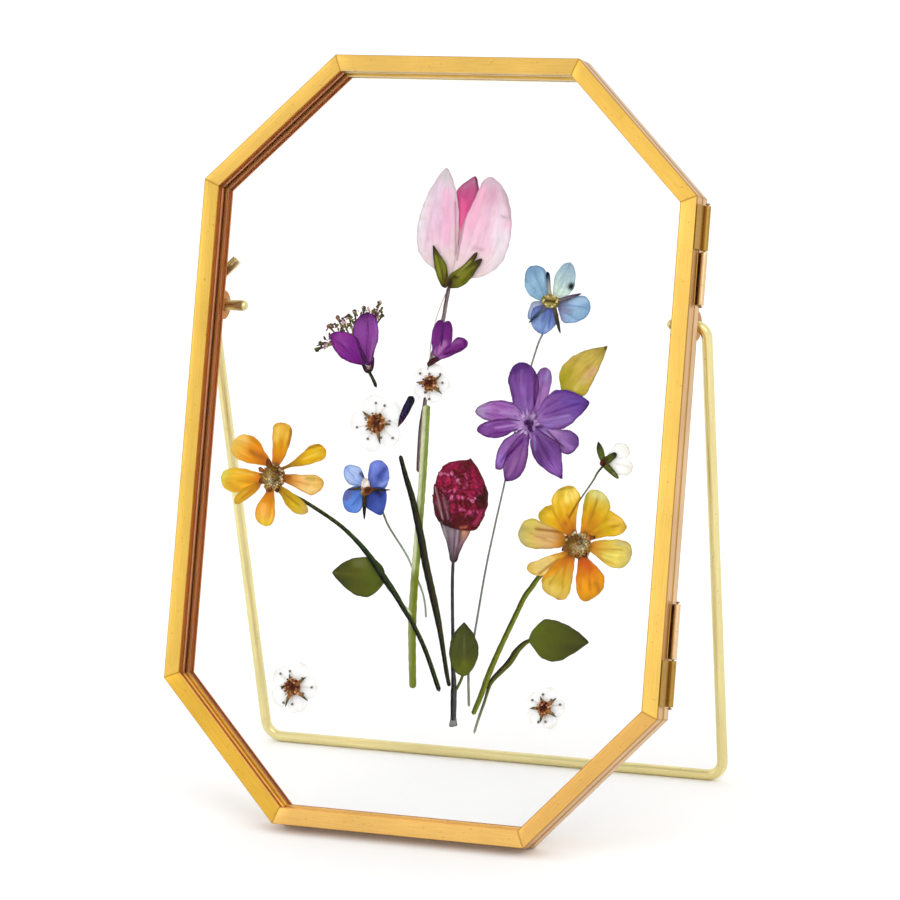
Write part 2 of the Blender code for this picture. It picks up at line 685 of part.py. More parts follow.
def build_left_yellow_bloom():
    petals = [
        petal((-44.5, 89.2), (-58.6, 88.3), (1.2, 2.3, 3.6, 3.8, 2.6), (1.0, 1.4, 2.3, 2.6, 1.8)),
        petal((-47.0, 87.6), (-53.9, 81.9), (0.8, 1.2, 1.3, 1.1, 0.8), (0.8, 1.2, 1.6, 1.6, 1.0)),
        petal((-44.5, 92.0), (-56.2, 97.6), (0.4, 1.2, 2.4, 2.8, 1.9), (1.5, 2.6, 4.3, 4.2, 2.6)),
        petal((-42.7, 91.5), (-41.8, 103.7), (1.2, 1.7, 2.1, 2.6, 2.4), (0.6, 1.8, 2.6, 3.0, 2.4)),
        petal((-42.0, 91.2), (-28.8, 96.9), (0.4, 0.6, 1.7, 3.0, 2.2), (0.4, 0.5, 1.4, 1.8, 1.6)),
        petal((-41.5, 89.2), (-28.7, 88.4), (0.9, 1.4, 1.6, 2.0, 1.3), (0.8, 1.4, 2.5, 3.4, 2.0)),
        petal((-42.8, 87.3), (-32.6, 80.8), (0.8, 1.2, 1.5, 1.5, 1.0), (0.8, 1.0, 2.2, 2.4, 1.4)),
        petal((-43.7, 87.6), (-44.2, 76.4), (0.9, 1.3, 1.8, 2.2, 1.5), (0.9, 1.4, 3.1, 3.6, 2.3)),
        disc(-43.3, 89.4, 3.3),
    ]
    pressed("yellow_left_petals", petals, 2, "yellow_petal")
    lumps = ((-44.6, 92.6), (-46.2, 88.2), (-42.4, 85.9), (-41.2, 90.8), (-46.2, 91.2))
    pressed("yellow_left_centre", lumpy(-43.4, 89.0, 2.6, lumps), 3, "brown_centre")
    route = [(-38.5, 85.3), (-33.2, 83.1), (-24.0, 78.3), (-18.0, 73.9), (-14.3, 70.4), (-9.7, 65.1), (-6.0, 60.9)]
    route += [(-3.2, 57.2), (-0.4, 53.7), (3.6, 47.2), (8.3, 37.3)]
    stem("yellow_left_stem", route, 1.2, 1, "dark_stem", end_level=2)
    leaf = petal((-9.9, 64.9), (-25.0, 65.7), (0.9, 4.9, 5.0, 3.2, 1.1), (1.8, 4.8, 4.9, 3.6, 1.3), 12)
    pressed("yellow_left_leaf", [leaf], 0, "green_leaf")


def build_blue_bloom():
    petals = [
        petal((-17.0, 88.6), (-23.2, 93.0), (0.8, 1.6, 2.6, 2.2, 1.2), (0.8, 1.6, 2.6, 2.1, 1.3)),
        petal((-16.4, 87.6), (-21.8, 81.9), (0.6, 1.5, 2.5, 2.6, 1.3), (1.4, 3.1, 3.9, 3.6, 2.0)),
        petal((-15.9, 88.2), (-13.0, 95.3), (0.6, 1.3, 2.1, 2.4, 1.4), (2.0, 4.2, 4.3, 3.4, 2.2)),
        petal((-15.6, 87.9), (-11.7, 81.3), (2.0, 3.8, 3.5, 2.2, 1.0), (1.0, 2.0, 2.9, 1.9, 0.8)),
        disc(-16.4, 87.9, 1.4),
    ]
    pressed("blue_petals", petals, 2, "blue_petal")
    middle = [
        petal((-17.8, 86.4), (-14.4, 88.0), (0.4, 0.9, 1.1, 0.9, 0.4), (0.4, 0.9, 1.1, 0.9, 0.4), 6),
        petal((-16.4, 87.0), (-17.0, 90.6), (0.8, 1.2, 1.2, 1.0, 0.5), (0.8, 1.2, 1.2, 1.0, 0.5), 6),
        petal((-16.8, 86.8), (-16.2, 79.8), (0.5, 0.6, 0.6, 0.5, 0.2), (0.5, 0.6, 0.6, 0.5, 0.2), 6),
    ]
    pressed("blue_centre", middle, 3, "brown_centre")
    route = [(-12.6, 83.2), (-10.6, 79.3), (-8.5, 76.5), (-6.0, 73.5), (-4.0, 70.8), (-1.8, 67.0), (0.6, 62.7)]
    stem("blue_stem", route + [(1.8, 59.0), (2.3, 55.8)], 0.6, 0, "thin_stem")


def build_dark_stem():
    route = [(-7.9, 97.0), (-5.8, 91.5), (-3.6, 86.3), (-1.8, 81.0), (0.0, 75.5), (1.5, 70.0), (5.5, 58.0)]
    stem("dark_stem", route + [(7.3, 52.0), (9.9, 42.0), (10.9, 38.9)], 1.2, 2, "dark_stem")


def build_crimson_bud():
    ruffles = [
        petal((8.6, 79.3), (10.8, 97.1), (2.0, 4.8, 6.0, 5.4, 3.0), (2.4, 4.4, 5.2, 3.0, 1.4)),
        petal((8.0, 79.5), (3.4, 92.6), (1.6, 2.6, 2.4, 1.6, 1.0), (1.8, 4.4, 5.6, 5.0, 2.4)),
        petal((10.5, 79.6), (16.6, 90.2), (2.2, 4.8, 4.6, 3.4, 1.8), (1.4, 2.4, 2.6, 2.0, 1.2)),
        petal((7.6, 79.0), (2.0, 86.4), (1.0, 1.6, 1.4, 1.1, 0.6), (1.6, 3.4, 4.4, 3.6, 1.8)),
    ]
    pressed("crimson_bud", ruffles, 2, "crimson_petal")
    calyx = petal((9.0, 70.4), (8.8, 81.5), (0.6, 1.1, 2.0, 3.8, 4.4), (0.6, 1.0, 2.4, 3.9, 4.2))
    pressed("crimson_calyx", [calyx], 1, "mauve_sepal")
    route = [(8.9, 69.8), (9.1, 66.0), (9.8, 58.0), (10.4, 52.0), (11.0, 45.0), (11.7, 40.0), (12.0, 36.0)]
    flare = petal((12.1, 33.0), (12.6, 28.7), (0.4, 0.6, 0.8, 1.1, 1.0), (0.4, 0.6, 0.8, 1.1, 1.0), 6)
    pressed("crimson_stem", [strip(route + [(12.4, 30.0)], 0.9), flare], 1, "dark_stem")
    small = [
        petal((14.7, 41.8), (13.6, 55.4), (2.2, 3.7, 4.1, 3.2, 1.2), (1.6, 3.3, 4.0, 2.9, 1.0), 10),
        strip([(14.6, 43.4), (13.9, 40.8), (12.6, 38.0)], 0.8),
    ]
    pressed("small_leaf", small, 2, "green_leaf")


def build_purple_bloom():
    petals = [
        petal((28.0, 108.5), (30.2, 121.5), (0.8, 1.5, 2.0, 2.0, 1.3), (0.8, 1.9, 2.6, 2.6, 1.8)),
        petal((28.5, 105.9), (40.9, 102.3), (0.8, 1.6, 2.0, 2.6, 1.8), (0.8, 1.4, 2.2, 3.5, 2.5)),
        petal((26.8, 108.0), (23.1, 122.4), (1.0, 3.3, 3.6, 3.8, 2.2), (1.0, 2.6, 4.2, 4.1, 2.4)),
        petal((28.2, 107.2), (43.0, 113.2), (1.2, 4.3, 5.9, 4.4, 1.6), (1.0, 3.1, 4.1, 2.7, 1.2)),
        petal((25.9, 107.9), (12.0, 109.3), (0.8, 1.5, 2.0, 1.8, 1.0), (1.5, 3.5, 3.9, 3.1, 1.5)),
        petal((25.9, 106.8), (12.9, 104.4), (1.0, 1.6, 2.6, 2.3, 1.0), (0.8, 1.8, 2.2, 2.0, 1.3)),
        petal((26.5, 105.6), (18.9, 95.0), (0.8, 1.5, 2.2, 1.6, 1.4), (0.9, 2.0, 3.0, 2.3, 0.9)),
        petal((26.9, 105.4), (21.9, 92.0), (1.0, 2.0, 3.2, 3.4, 1.9), (1.0, 2.0, 2.5, 2.4, 0.9)),
        petal((28.0, 106.0), (37.3, 93.4), (1.0, 2.3, 3.9, 2.4, 0.8), (0.9, 2.9, 3.6, 2.4, 0.8)),
        disc(27.2, 106.9, 1.8),
    ]
    pressed("purple_petals", petals, 2, "purple_petal")
    middle = [
        petal((25.4, 107.0), (29.6, 107.6), (0.7, 1.1, 1.3, 1.1, 0.7), (0.7, 1.1, 1.3, 1.1, 0.7), 6),
        petal((26.6, 107.6), (29.2, 110.4), (0.6, 0.9, 1.0, 0.9, 0.6), (0.6, 0.9, 1.0, 0.9, 0.6), 6),
        petal((26.8, 107.4), (28.2, 104.4), (0.5, 0.8, 0.9, 0.7, 0.4), (0.5, 0.8, 0.9, 0.7, 0.4), 6),
    ]
    pressed("purple_centre", middle, 3, "dark_purple")


def build_pale_blue_bloom():
    petals = [
        petal((29.2, 138.4), (24.3, 133.6), (0.8, 1.0, 1.0, 0.9, 0.6), (0.9, 1.6, 2.6, 1.8, 0.9)),
        petal((29.2, 138.2), (23.6, 147.0), (1.0, 2.8, 3.7, 3.0, 1.6), (0.8, 1.5, 2.9, 3.2, 1.7)),
        petal((31.0, 139.0), (34.6, 148.4), (0.8, 1.5, 2.3, 2.1, 1.2), (1.6, 3.2, 3.6, 2.8, 1.5)),
        petal((32.0, 137.8), (41.0, 136.6), (0.8, 2.0, 2.9, 3.1, 2.1), (1.6, 4.2, 4.3, 3.3, 1.9)),
        petal((30.2, 137.4), (28.5, 129.8), (1.5, 2.8, 3.0, 2.1, 1.0), (2.0, 4.3, 4.4, 3.8, 2.2)),
        disc(30.5, 138.2, 1.9),
    ]
    pressed("pale_blue_petals", petals, 1, "pale_blue_petal")
    sepals = [
        petal((30.4, 138.2), (28.8, 145.8), (0.6, 0.8, 0.9, 0.9, 0.6), (0.6, 0.8, 0.9, 0.9, 0.6), 6),
        petal((30.8, 138.0), (38.6, 140.6), (0.6, 0.9, 1.0, 0.6, 0.3), (0.6, 1.2, 1.4, 0.8, 0.4), 6),
        petal((31.0, 138.4), (33.7, 130.2), (0.6, 0.8, 0.8, 0.6, 0.3), (0.6, 0.9, 1.0, 0.7, 0.3), 6),
        petal((30.6, 138.2), (24.9, 132.5), (0.6, 0.8, 0.8, 0.6, 0.3), (0.6, 0.9, 1.0, 0.8, 0.4), 6),
    ]
    pressed("pale_blue_sepals", sepals, 2, "mauve_sepal")
    middle = petal((28.0, 138.8), (33.0, 138.0), (0.7, 1.3, 1.6, 1.4, 0.7), (0.8, 1.5, 1.9, 1.6, 0.9))
    pressed("pale_blue_centre", [middle], 3, "brown_centre")
    route = [(28.9, 132.0), (28.3, 130.0), (27.3, 127.5), (25.8, 121.5), (24.6, 115.0), (22.5, 103.0), (21.2, 92.5)]
    route += [(19.4, 81.0), (17.7, 69.0), (16.3, 55.0), (15.4, 46.0), (15.3, 42.0), (16.1, 34.1)]
    stem("long_thin_stem", route, 0.8, 0, "thin_stem")


def build_olive_leaf():
    leaf = petal((35.5, 114.0), (46.3, 127.6), (2.0, 5.3, 5.4, 3.5, 1.0), (2.0, 4.0, 3.2, 1.9, 0.7), 12)
    pressed("olive_leaf", [leaf], 1, "olive_leaf")


def build_white_bud():
    petals = [
        petal((48.6, 98.4), (54.2, 102.4), (0.8, 1.6, 2.4, 2.4, 1.4), (0.8, 1.6, 2.2, 2.0, 1.2)),
        petal((48.6, 98.2), (55.6, 96.6), (0.8, 1.8, 2.6, 2.6, 1.6), (0.8, 1.6, 2.0, 1.8, 1.0)),
    ]
    pressed("white_bud_petals", petals, 1, "white_petal")
    sepals = [
        petal((48.0, 98.0), (46.1, 103.4), (0.4, 0.8, 1.0, 0.8, 0.3), (0.4, 0.8, 0.9, 0.7, 0.3), 6),
        petal((47.7, 98.1), (51.3, 100.6), (0.5, 1.0, 0.9, 0.8, 0.6), (0.5, 1.0, 1.0, 0.8, 0.6), 6),
        petal((47.6, 98.3), (52.4, 94.4), (0.4, 0.8, 0.8, 0.6, 0.4), (0.5, 0.8, 0.8, 0.6, 0.4), 6),
    ]
    pressed("white_bud_sepals", sepals, 2, "dark_stem")
    route = [(47.9, 97.9), (46.2, 95.8), (45.3, 94.0), (44.0, 91.8), (42.4, 89.3), (40.5, 86.0), (38.9, 82.5)]
    stem("white_bud_stem", route, 0.6, 0, "thin_stem")


def build_right_yellow_bloom():
    petals = [
        petal((41.5, 79.0), (31.6, 84.6), (0.6, 0.9, 1.5, 1.8, 1.3), (1.2, 2.5, 4.5, 4.0, 2.4)),
        petal((42.0, 78.5), (38.5, 91.8), (1.2, 3.0, 4.5, 4.8, 3.2), (0.6, 0.8, 1.7, 3.1, 2.1)),
        petal((41.0, 77.6), (26.4, 79.0), (0.9, 2.1, 2.9, 3.2, 2.1), (0.8, 2.3, 3.3, 4.3, 3.2)),
        petal((41.5, 75.4), (29.6, 70.0), (0.8, 1.5, 3.0, 3.0, 1.6), (0.6, 0.9, 1.2, 1.2, 1.2)),
        petal((42.0, 74.8), (38.5, 63.0), (0.6, 1.2, 1.9, 2.4, 2.0), (0.6, 1.6, 3.0, 5.4, 4.4)),
        petal((41.5, 75.0), (34.0, 66.6), (0.5, 0.9, 0.9, 0.9, 0.6), (0.6, 1.0, 1.5, 1.3, 0.9)),
        petal((43.4, 74.6), (46.2, 63.0), (1.8, 3.6, 5.6, 5.4, 3.0), (0.4, 0.9, 1.8, 2.0, 1.4)),
        petal((45.0, 76.3), (57.6, 76.1), (1.2, 2.3, 2.7, 2.9, 2.0), (0.5, 1.8, 3.8, 4.3, 2.9)),
        petal((44.4, 78.2), (55.6, 82.6), (1.6, 3.2, 6.3, 5.0, 2.3), (0.5, 0.6, 0.9, 1.6, 1.0)),
        petal((43.6, 78.4), (47.0, 91.2), (0.5, 1.1, 1.9, 2.5, 2.0), (0.9, 2.6, 4.5, 4.8, 3.2)),
        disc(43.3, 76.8, 3.2),
    ]
    pressed("yellow_right_petals", petals, 2, "yellow_petal")
    lumps = ((38.4, 76.4), (41.6, 80.4), (45.8, 75.0), (46.8, 78.8), (43.0, 73.6))
    pressed("yellow_right_centre", lumpy(43.3, 77.0, 2.4, lumps), 3, "brown_centre")
    route = [(36.5, 71.6), (33.0, 68.6), (31.0, 65.7), (29.2, 63.0), (27.3, 58.5), (25.0, 53.0), (23.0, 48.0)]
    stem("yellow_right_stem", route + [(21.0, 42.5), (19.5, 37.5), (17.6, 32.2)], 1.4, 1, "green_stem")
    petiole = [(32.2, 52.3), (30.3, 51.6), (28.0, 49.3), (26.0, 46.0), (22.0, 41.5), (21.0, 39.0), (20.3, 36.0)]
    leaf = [
        petal((31.0, 52.3), (47.3, 52.8), (2.6, 5.3, 4.9, 3.2, 1.1), (1.7, 4.6, 5.1, 3.0, 0.9), 12),
        strip(petiole + [(19.0, 31.5), (18.0, 27.6)], 0.8),
    ]
    pressed("yellow_right_leaf", leaf, 0, "green_leaf")


# ---------------------------------------------------------------- assembly

clear_scene()
parts = new_collection("pressed_flower_frame")
cutters = new_collection("cutters")

lean_up = Vector((0.0, math.sin(LEAN), math.cos(LEAN)))
lean_out = Vector((0.0, -math.cos(LEAN), math.sin(LEAN)))
stand_edge_y = -(HEIGHT * lean_up.y + DEPTH * lean_out.y) / 2
pivot = lean_up * PIVOT_H - lean_out * PIVOT_BEHIND
pivot_back, pivot_up = pivot.y, pivot.z

panel = empty("panel", (0.0, stand_edge_y, 0.0), (-LEAN, 0.0, 0.0))
front_hinge = empty("front_panel_hinge", (HINGE_X, -HINGE_FRONT, 0.0), parent=panel)
latch_pivot = empty("latch_pivot", (LATCH_X, 0.0, LATCH_H), (0.0, -LATCH_TURN, 0.0), panel)
stand_pivot = empty("stand_pivot", (0.0, stand_edge_y + pivot_back, pivot_up))

build_rings()
build_hinges()
build_ears()
build_latch()
build_stand()
build_pink_bloom()
build_green_stem()
build_small_purple_bloom()
build_bell_bloom()
build_white_blossoms()
build_purple_bud()
build_left_yellow_bloom()
build_blue_bloom()
build_dark_stem()
build_crimson_bud()
build_purple_bloom()
build_pale_blue_bloom()
build_olive_leaf()
build_white_bud()
build_right_yellow_bloom()
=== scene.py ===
"""Pressed flower frame: an octagonal double glass frame of gold plated brass on a wire stand.

Sizes are in millimetres and colours are sRGB hex values. A place on the frame is written as x to
the right, h up the leaning panel, and front, the distance forwards from the frame's rear face.
"""

import json
from math import copysign, cos, hypot, pi, radians, sin, sqrt

import bpy
import numpy as np
from mathutils import Matrix, Vector


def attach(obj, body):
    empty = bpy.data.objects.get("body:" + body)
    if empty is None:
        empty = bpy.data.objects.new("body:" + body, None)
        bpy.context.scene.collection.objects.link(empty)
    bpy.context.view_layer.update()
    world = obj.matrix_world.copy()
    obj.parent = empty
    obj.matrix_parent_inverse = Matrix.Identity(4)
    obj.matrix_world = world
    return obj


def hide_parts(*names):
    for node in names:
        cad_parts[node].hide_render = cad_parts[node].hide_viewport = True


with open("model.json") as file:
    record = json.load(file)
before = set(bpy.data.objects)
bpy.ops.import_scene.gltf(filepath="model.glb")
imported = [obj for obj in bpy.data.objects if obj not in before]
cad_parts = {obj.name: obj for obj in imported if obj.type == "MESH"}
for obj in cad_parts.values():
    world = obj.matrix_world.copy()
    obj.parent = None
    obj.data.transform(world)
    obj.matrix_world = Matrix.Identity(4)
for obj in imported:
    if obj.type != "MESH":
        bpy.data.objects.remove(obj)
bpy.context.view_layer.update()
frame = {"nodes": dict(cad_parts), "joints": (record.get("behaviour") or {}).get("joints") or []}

# ---------------- camera, floor and light
# A shot on a plain white sweep under soft studio light: a long lens a metre away, a little to the
# right of the frame and above it. The floor is matt white card, bright enough to lose its horizon.

MM = 0.001
joints = {joint["name"]: joint for joint in frame["joints"]}
ACROSS = Vector((1.0, 0.0, 0.0))
UP = Vector(joints["front_panel_hinge"]["axis"])
OUT = Vector(joints["latch_swivel"]["axis"])
LATCH_X, LATCH_H = -66.5, 141.0
PANEL_FOOT = Vector(joints["latch_swivel"]["pos_m"]) - ACROSS * LATCH_X * MM - UP * LATCH_H * MM
SWEEP_HALF = 4000.0
SWEEP_WHITE = "#FEFEFE"
FIBRE = 0.6  # of the card's paper
AIM = Vector((19.08, -30.443, 103.69))
DISTANCE = 993.4
LENS, SENSOR = 160.7, 36.0
TURN, DOWN, ROLL = 24.01, 15.6, -3.49
SKY_STRENGTH = 1.07


def linear(code):
    """Linear RGBA of an sRGB hex value, by the sRGB curve."""
    channels = [int(code[i : i + 2], 16) / 255 for i in (1, 3, 5)]
    return (*(c / 12.92 if c <= 0.04045 else ((c + 0.055) / 1.055) ** 2.4 for c in channels), 1.0)


def add(tree, kind, inputs, **settings):
    """A node of that kind with its settings; each input gets a value, or a link from an output."""
    node = tree.nodes.new(kind)
    for name, value in settings.items():
        setattr(node, name, value)
    for socket, value in inputs.items():
        if isinstance(value, bpy.types.NodeSocket):
            tree.links.new(value, node.inputs[socket])
        else:
            node.inputs[socket].default_value = value
    return node


def new_material(name):
    """An empty material and its node tree."""
    material = bpy.data.materials.new(name)
    material.use_nodes = True
    material.node_tree.nodes.clear()
    return material, material.node_tree


def noise(tree, vector, scale, detail, roughness=0.5):
    """Noise over a vector, with scale features to each unit of it."""
    inputs = {"Vector": vector, "Scale": scale, "Detail": detail, "Roughness": roughness}
    return add(tree, "ShaderNodeTexNoise", inputs).outputs[0]


def relief(tree, height, strength, depth):
    """A surface's bumps: their height times strength times depth, in millimetres."""
    return add(tree, "ShaderNodeBump", {"Height": height, "Strength": strength, "Distance": depth * MM}).outputs[0]


def opaque(tree, inputs):
    """The shader of a surface that light doesn't pass, with those inputs."""
    shader = add(tree, "ShaderNodeBsdfPrincipled", inputs)
    add(tree, "ShaderNodeOutputMaterial", {"Surface": shader.outputs[0]})


camera = bpy.data.objects.new("camera", bpy.data.cameras.new("camera"))
camera.data.lens = LENS
camera.data.sensor_width = SENSOR
camera.data.clip_end = 100.0
turn, down, roll = (radians(angle) for angle in (TURN, DOWN, ROLL))
ahead = Vector((-sin(turn) * cos(down), cos(turn) * cos(down), -sin(down)))
level = Vector((cos(turn), sin(turn), 0.0))
raised = level.cross(ahead)
rolled_right = level * cos(roll) + raised * sin(roll)
rolled_up = raised * cos(roll) - level * sin(roll)
facing = Matrix((rolled_right, rolled_up, -ahead)).transposed().to_4x4()
camera.matrix_world = Matrix.Translation((AIM - ahead * DISTANCE) * MM) @ facing
bpy.context.scene.collection.objects.link(camera)
bpy.context.scene.camera = camera
bpy.context.scene.view_settings.view_transform = "Standard"

card, tree = new_material("matt_white_card")
place = add(tree, "ShaderNodeTexCoord", {}).outputs["Object"]
fibres = relief(tree, noise(tree, place, 1000 / FIBRE, 2.0), 0.05, 0.01)
opaque(tree, {"Base Color": linear(SWEEP_WHITE), "Roughness": 0.9, "Specular IOR Level": 0.1, "Normal": fibres})
sweep = bpy.data.meshes.new("sweep")
far = SWEEP_HALF * MM
sweep.from_pydata([(-far, -far, 0), (far, -far, 0), (far, far, 0), (-far, far, 0)], [], [(0, 1, 2, 3)])
sweep.materials.append(card)
floor = bpy.data.objects.new("sweep", sweep)
bpy.context.scene.collection.objects.link(floor)

world = bpy.data.worlds.new("studio")
world.use_nodes = True
world.node_tree.nodes.clear()
sky = add(world.node_tree, "ShaderNodeBackground", {"Color": linear("#FFFFFF"), "Strength": SKY_STRENGTH})
add(world.node_tree, "ShaderNodeOutputWorld", {"Surface": sky.outputs[0]})
bpy.context.scene.world = world


def softbox(name, position, size, power):
    """A square area lamp, in metres and watts, that faces the middle of the frame."""
    lamp = bpy.data.lights.new(name, "AREA")
    lamp.size = size
    lamp.energy = power
    holder = bpy.data.objects.new(name, lamp)
    holder.location = position
    holder.rotation_euler = (AIM * MM - Vector(position)).to_track_quat("-Z", "Y").to_euler()
    bpy.context.scene.collection.objects.link(holder)


softbox("key_softbox", (1.5, -1.3, 1.7), 1.4, 10.0)
softbox("fill_softbox", (-1.7, -1.2, 1.0), 1.2, 3.0)

# ---------------- the two octagonal rings
# Eight lengths of folded brass channel a ring, cut to mitres, soldered, brushed along their length
# and gold plated. The plating has gone brown where a cloth can't reach, inside the channel and at
# the mitres. The lips' dark and copper bands are painted shade and highlight, each bar's tone is
# painted light, and the outer walls are painted darker as shade.

WIDTH, HEIGHT, DEPTH = 137.5, 200.0, 8.0
OUTER_WALL, FACE_WALL, MOUTH, GAP = 0.8, 0.6, 2.1, 0.3
FRONT_FACE, BACK_FACE = 4.4, 5.1  # the back ring's lips stand a little further in
RING_DEPTH = (DEPTH - GAP) / 2
CUT_BACK = {  # how far each corner is cut back along the width and the height
    "top_left": (35.0, 33.5),
    "top_right": (34.5, 34.0),
    "bottom_right": (33.0, 35.0),
    "bottom_left": (34.5, 35.0),
}
CROWN = 0.16  # the brushed face is a little rounded
FOLD_RADII = (0.3, 0.45, 0.28, 0.15, 0.1, 0.1, 0.15, 0.15)  # of the channel section's eight corners
MITRE_HALF, MITRE_DEPTH = 0.14, 0.05
STATIONS = np.array([0, 0, 0.06, 0.2, 0.35, 0.5, 0.65, 0.8, 0.94, 1.0])  # along a bar, the first in its groove
SHIFTS = np.array([0, 1, 0, 0, 0, 0, 0, 0, 0, -1]) * MITRE_HALF
LIP, CLOSE = 0.2, 0.05  # how deep a lip is, and what counts as on a face
# painted light: each bar's tone is as bright as the lamps make it look, the right hand bars brightest
LIT_BAR_TONES = ("#E4B262", "#F9CC66", "#F3C45C", "#E4B960", "#E8BC5E", "#E6BC58", "#E2B244", "#EABA68")
# painted shade and highlight: the dark browns stand for shade in the channel mouths, the copper for a highlight
LIP_SHADE_AND_HIGHLIGHT_TONES = {"front": "#A8601C", "copper": "#D29468", "dark": "#A25A20", "reddish": "#BC7038"}
# painted light: a pale reflection of the floor on the lips of the top bars, and a glow on those of the bottom and
# lower left bars
LIP_FLOOR_REFLECTION, LIP_PAINTED_GLOW = "#EAD6A6", "#FFC468"
FLOOR_REFLECTING_BARS, PAINTED_GLOW_BARS = (0, 0, 0.5, 1, 0, 0, 0, 0), (0, 0, 0, 0, 0, 0, 1, 1)
# painted shade on the back ring's ledge behind the front ring, on these bars only
SHADED_LEDGE_BARS = slice(4, 6)  # left and upper left
FLUX_BROWN, LEDGE_SHADE, SOLDER_BROWN, TARNISH = "#EC862E", "#8E5C22", "#A87828", "#7A4A18"
CLOUD, SPECK = 16.0, 0.8  # of the plating
# painted shade: the outer wall is painted darker than the faces, and darker still along its edges
WALL_SHADE_TONES = {"front": ("#D6AA72", "#B28446"), "dark": ("#DAB486", "#AE8246")}  # outer wall and its edges


def unit(vectors):
    """The vectors, each divided by its length."""
    return vectors / np.linalg.norm(vectors, axis=-1, keepdims=True)


def tinted(colour, other, weight):
    """A colour with another's share in it: colour (1 - weight) + other weight."""
    return np.asarray(colour) * (1 - weight) + np.array(linear(other)) * weight


def on_panel(x, h, front):
    """World places, in metres, of arrays of panel places in millimetres: foot + x across + h up + front out."""
    x, h, front = np.broadcast_arrays(np.asarray(x, float), h, front)
    spread = x[..., None] * np.array(ACROSS) + h[..., None] * np.array(UP) + front[..., None] * np.array(OUT)
    return np.array(PANEL_FOOT) + spread * MM


def skin(points, closed=False, **fields):
    """A closed skin over a (rows, columns, 3) grid whose columns wrap round.

    With closed the rows wrap round too, as on a ring. Otherwise the first and the last row are each
    drawn together to one point. fields are (rows, columns) or (rows, columns, n) values of its points.
    """
    rows, columns = points.shape[:2]
    fields = {name: np.broadcast_to(value, (rows, columns) + np.shape(value)[2:]) for name, value in fields.items()}
    if closed:
        take = np.arange(rows * columns)
        grid = take.reshape(rows, columns)
        quads = np.stack([grid, np.roll(grid, -1, 1), np.roll(np.roll(grid, -1, 1), -1, 0), np.roll(grid, -1, 0)], -1)
        triangles = np.zeros((0, 3), int)
    else:
        take = np.concatenate([[0], np.arange(columns, (rows - 1) * columns), [(rows - 1) * columns]])
        grid = 1 + np.arange((rows - 2) * columns).reshape(rows - 2, columns)
        after = np.roll(grid, -1, 1)
        quads = np.stack([grid[:-1], after[:-1], after[1:], grid[1:]], -1)
        first = np.stack([np.zeros(columns, int), after[0], grid[0]], -1)
        last = np.stack([np.full(columns, grid[-1, -1] + 1), grid[-1], after[-1]], -1)
        triangles = np.concatenate([first, last])
    quads = quads.reshape(-1, 4)
    places = points.reshape(-1, 3)[take]
    corners = np.concatenate([quads[:, [0, 1, 2]], quads[:, [0, 2, 3]], triangles])
    a, b, c = (places[corners[:, i]] - places.mean(0) for i in range(3))
    if np.einsum("ij,ij->", a, np.cross(b, c)) < 0:  # inside out: turn every face round
        quads, triangles = quads[:, ::-1], triangles[:, ::-1]
    values = {name: value.reshape(rows * columns, -1)[take] for name, value in fields.items()}
    return places, quads, triangles, values


def make_piece(name, skins, material, body, nodes, crease=35.0):
    """One object of all the skins, with their fields as attributes, riding on its body for its CAD nodes."""
    starts = np.cumsum([0] + [len(part[0]) for part in skins])
    places = np.concatenate([part[0] for part in skins])
    faces = [face for part, start in zip(skins, starts) for kind in part[1:3] for face in (kind + start).tolist()]
    mesh = bpy.data.meshes.new(name)
    mesh.from_pydata(places.tolist(), [], faces)
    for field in skins[0][3]:
        values = np.concatenate([part[3][field] for part in skins])
        kinds = {1: ("FLOAT", "value"), 3: ("FLOAT_VECTOR", "vector"), 4: ("FLOAT_COLOR", "color")}
        kind, key = kinds[values.shape[1]]
        mesh.attributes.new(field, kind, "POINT").data.foreach_set(key, values.astype(np.float32).ravel())
    mesh.shade_smooth()
    mesh.set_sharp_from_angle(angle=radians(crease))
    mesh.materials.append(material)
    obj = bpy.data.objects.new(name, mesh)
    bpy.context.scene.collection.objects.link(obj)
    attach(obj, body)
    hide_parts(*nodes)


def outline(inset):
    """The frame's eight corners, each side moved inwards by inset, as an (..., 8, 2) array.

    A corner moves by inset times (n + m) / (1 + n.m), n and m being the inward normals of its sides.
    """
    half = WIDTH / 2
    (tl_x, tl_h), (tr_x, tr_h) = CUT_BACK["top_left"], CUT_BACK["top_right"]
    (br_x, br_h), (bl_x, bl_h) = CUT_BACK["bottom_right"], CUT_BACK["bottom_left"]
    right = [(half - br_x, 0), (half, br_h), (half, HEIGHT - tr_h), (half - tr_x, HEIGHT)]
    left = [(tl_x - half, HEIGHT), (-half, HEIGHT - tl_h), (-half, bl_h), (bl_x - half, 0)]
    corners = np.array(right + left, float)
    along = unit(np.roll(corners, -1, 0) - corners)
    inward = np.stack([-along[:, 1], along[:, 0]], -1)
    before = np.roll(inward, 1, 0)
    mitre = (inward + before) / (1 + (inward * before).sum(1))[:, None]
    return corners + mitre * np.asarray(inset, float)[..., None, None]


def rounded(corners, radii, steps=5):
    """A closed outline with each corner replaced by a curve from radius before it to radius after it.

    The curve is (1-t)^2 start + 2t(1-t) corner + t^2 end.
    """
    corners = np.array(corners, float)
    radii = np.array(radii, float)[:, None]
    start = corners + unit(np.roll(corners, 1, 0) - corners) * radii
    end = corners + unit(np.roll(corners, -1, 0) - corners) * radii
    t = np.linspace(0, 1, steps)[None, :, None]
    curve = start[:, None] * (1 - t) ** 2 + corners[:, None] * 2 * t * (1 - t) + end[:, None] * t**2
    return curve.reshape(-1, 2)


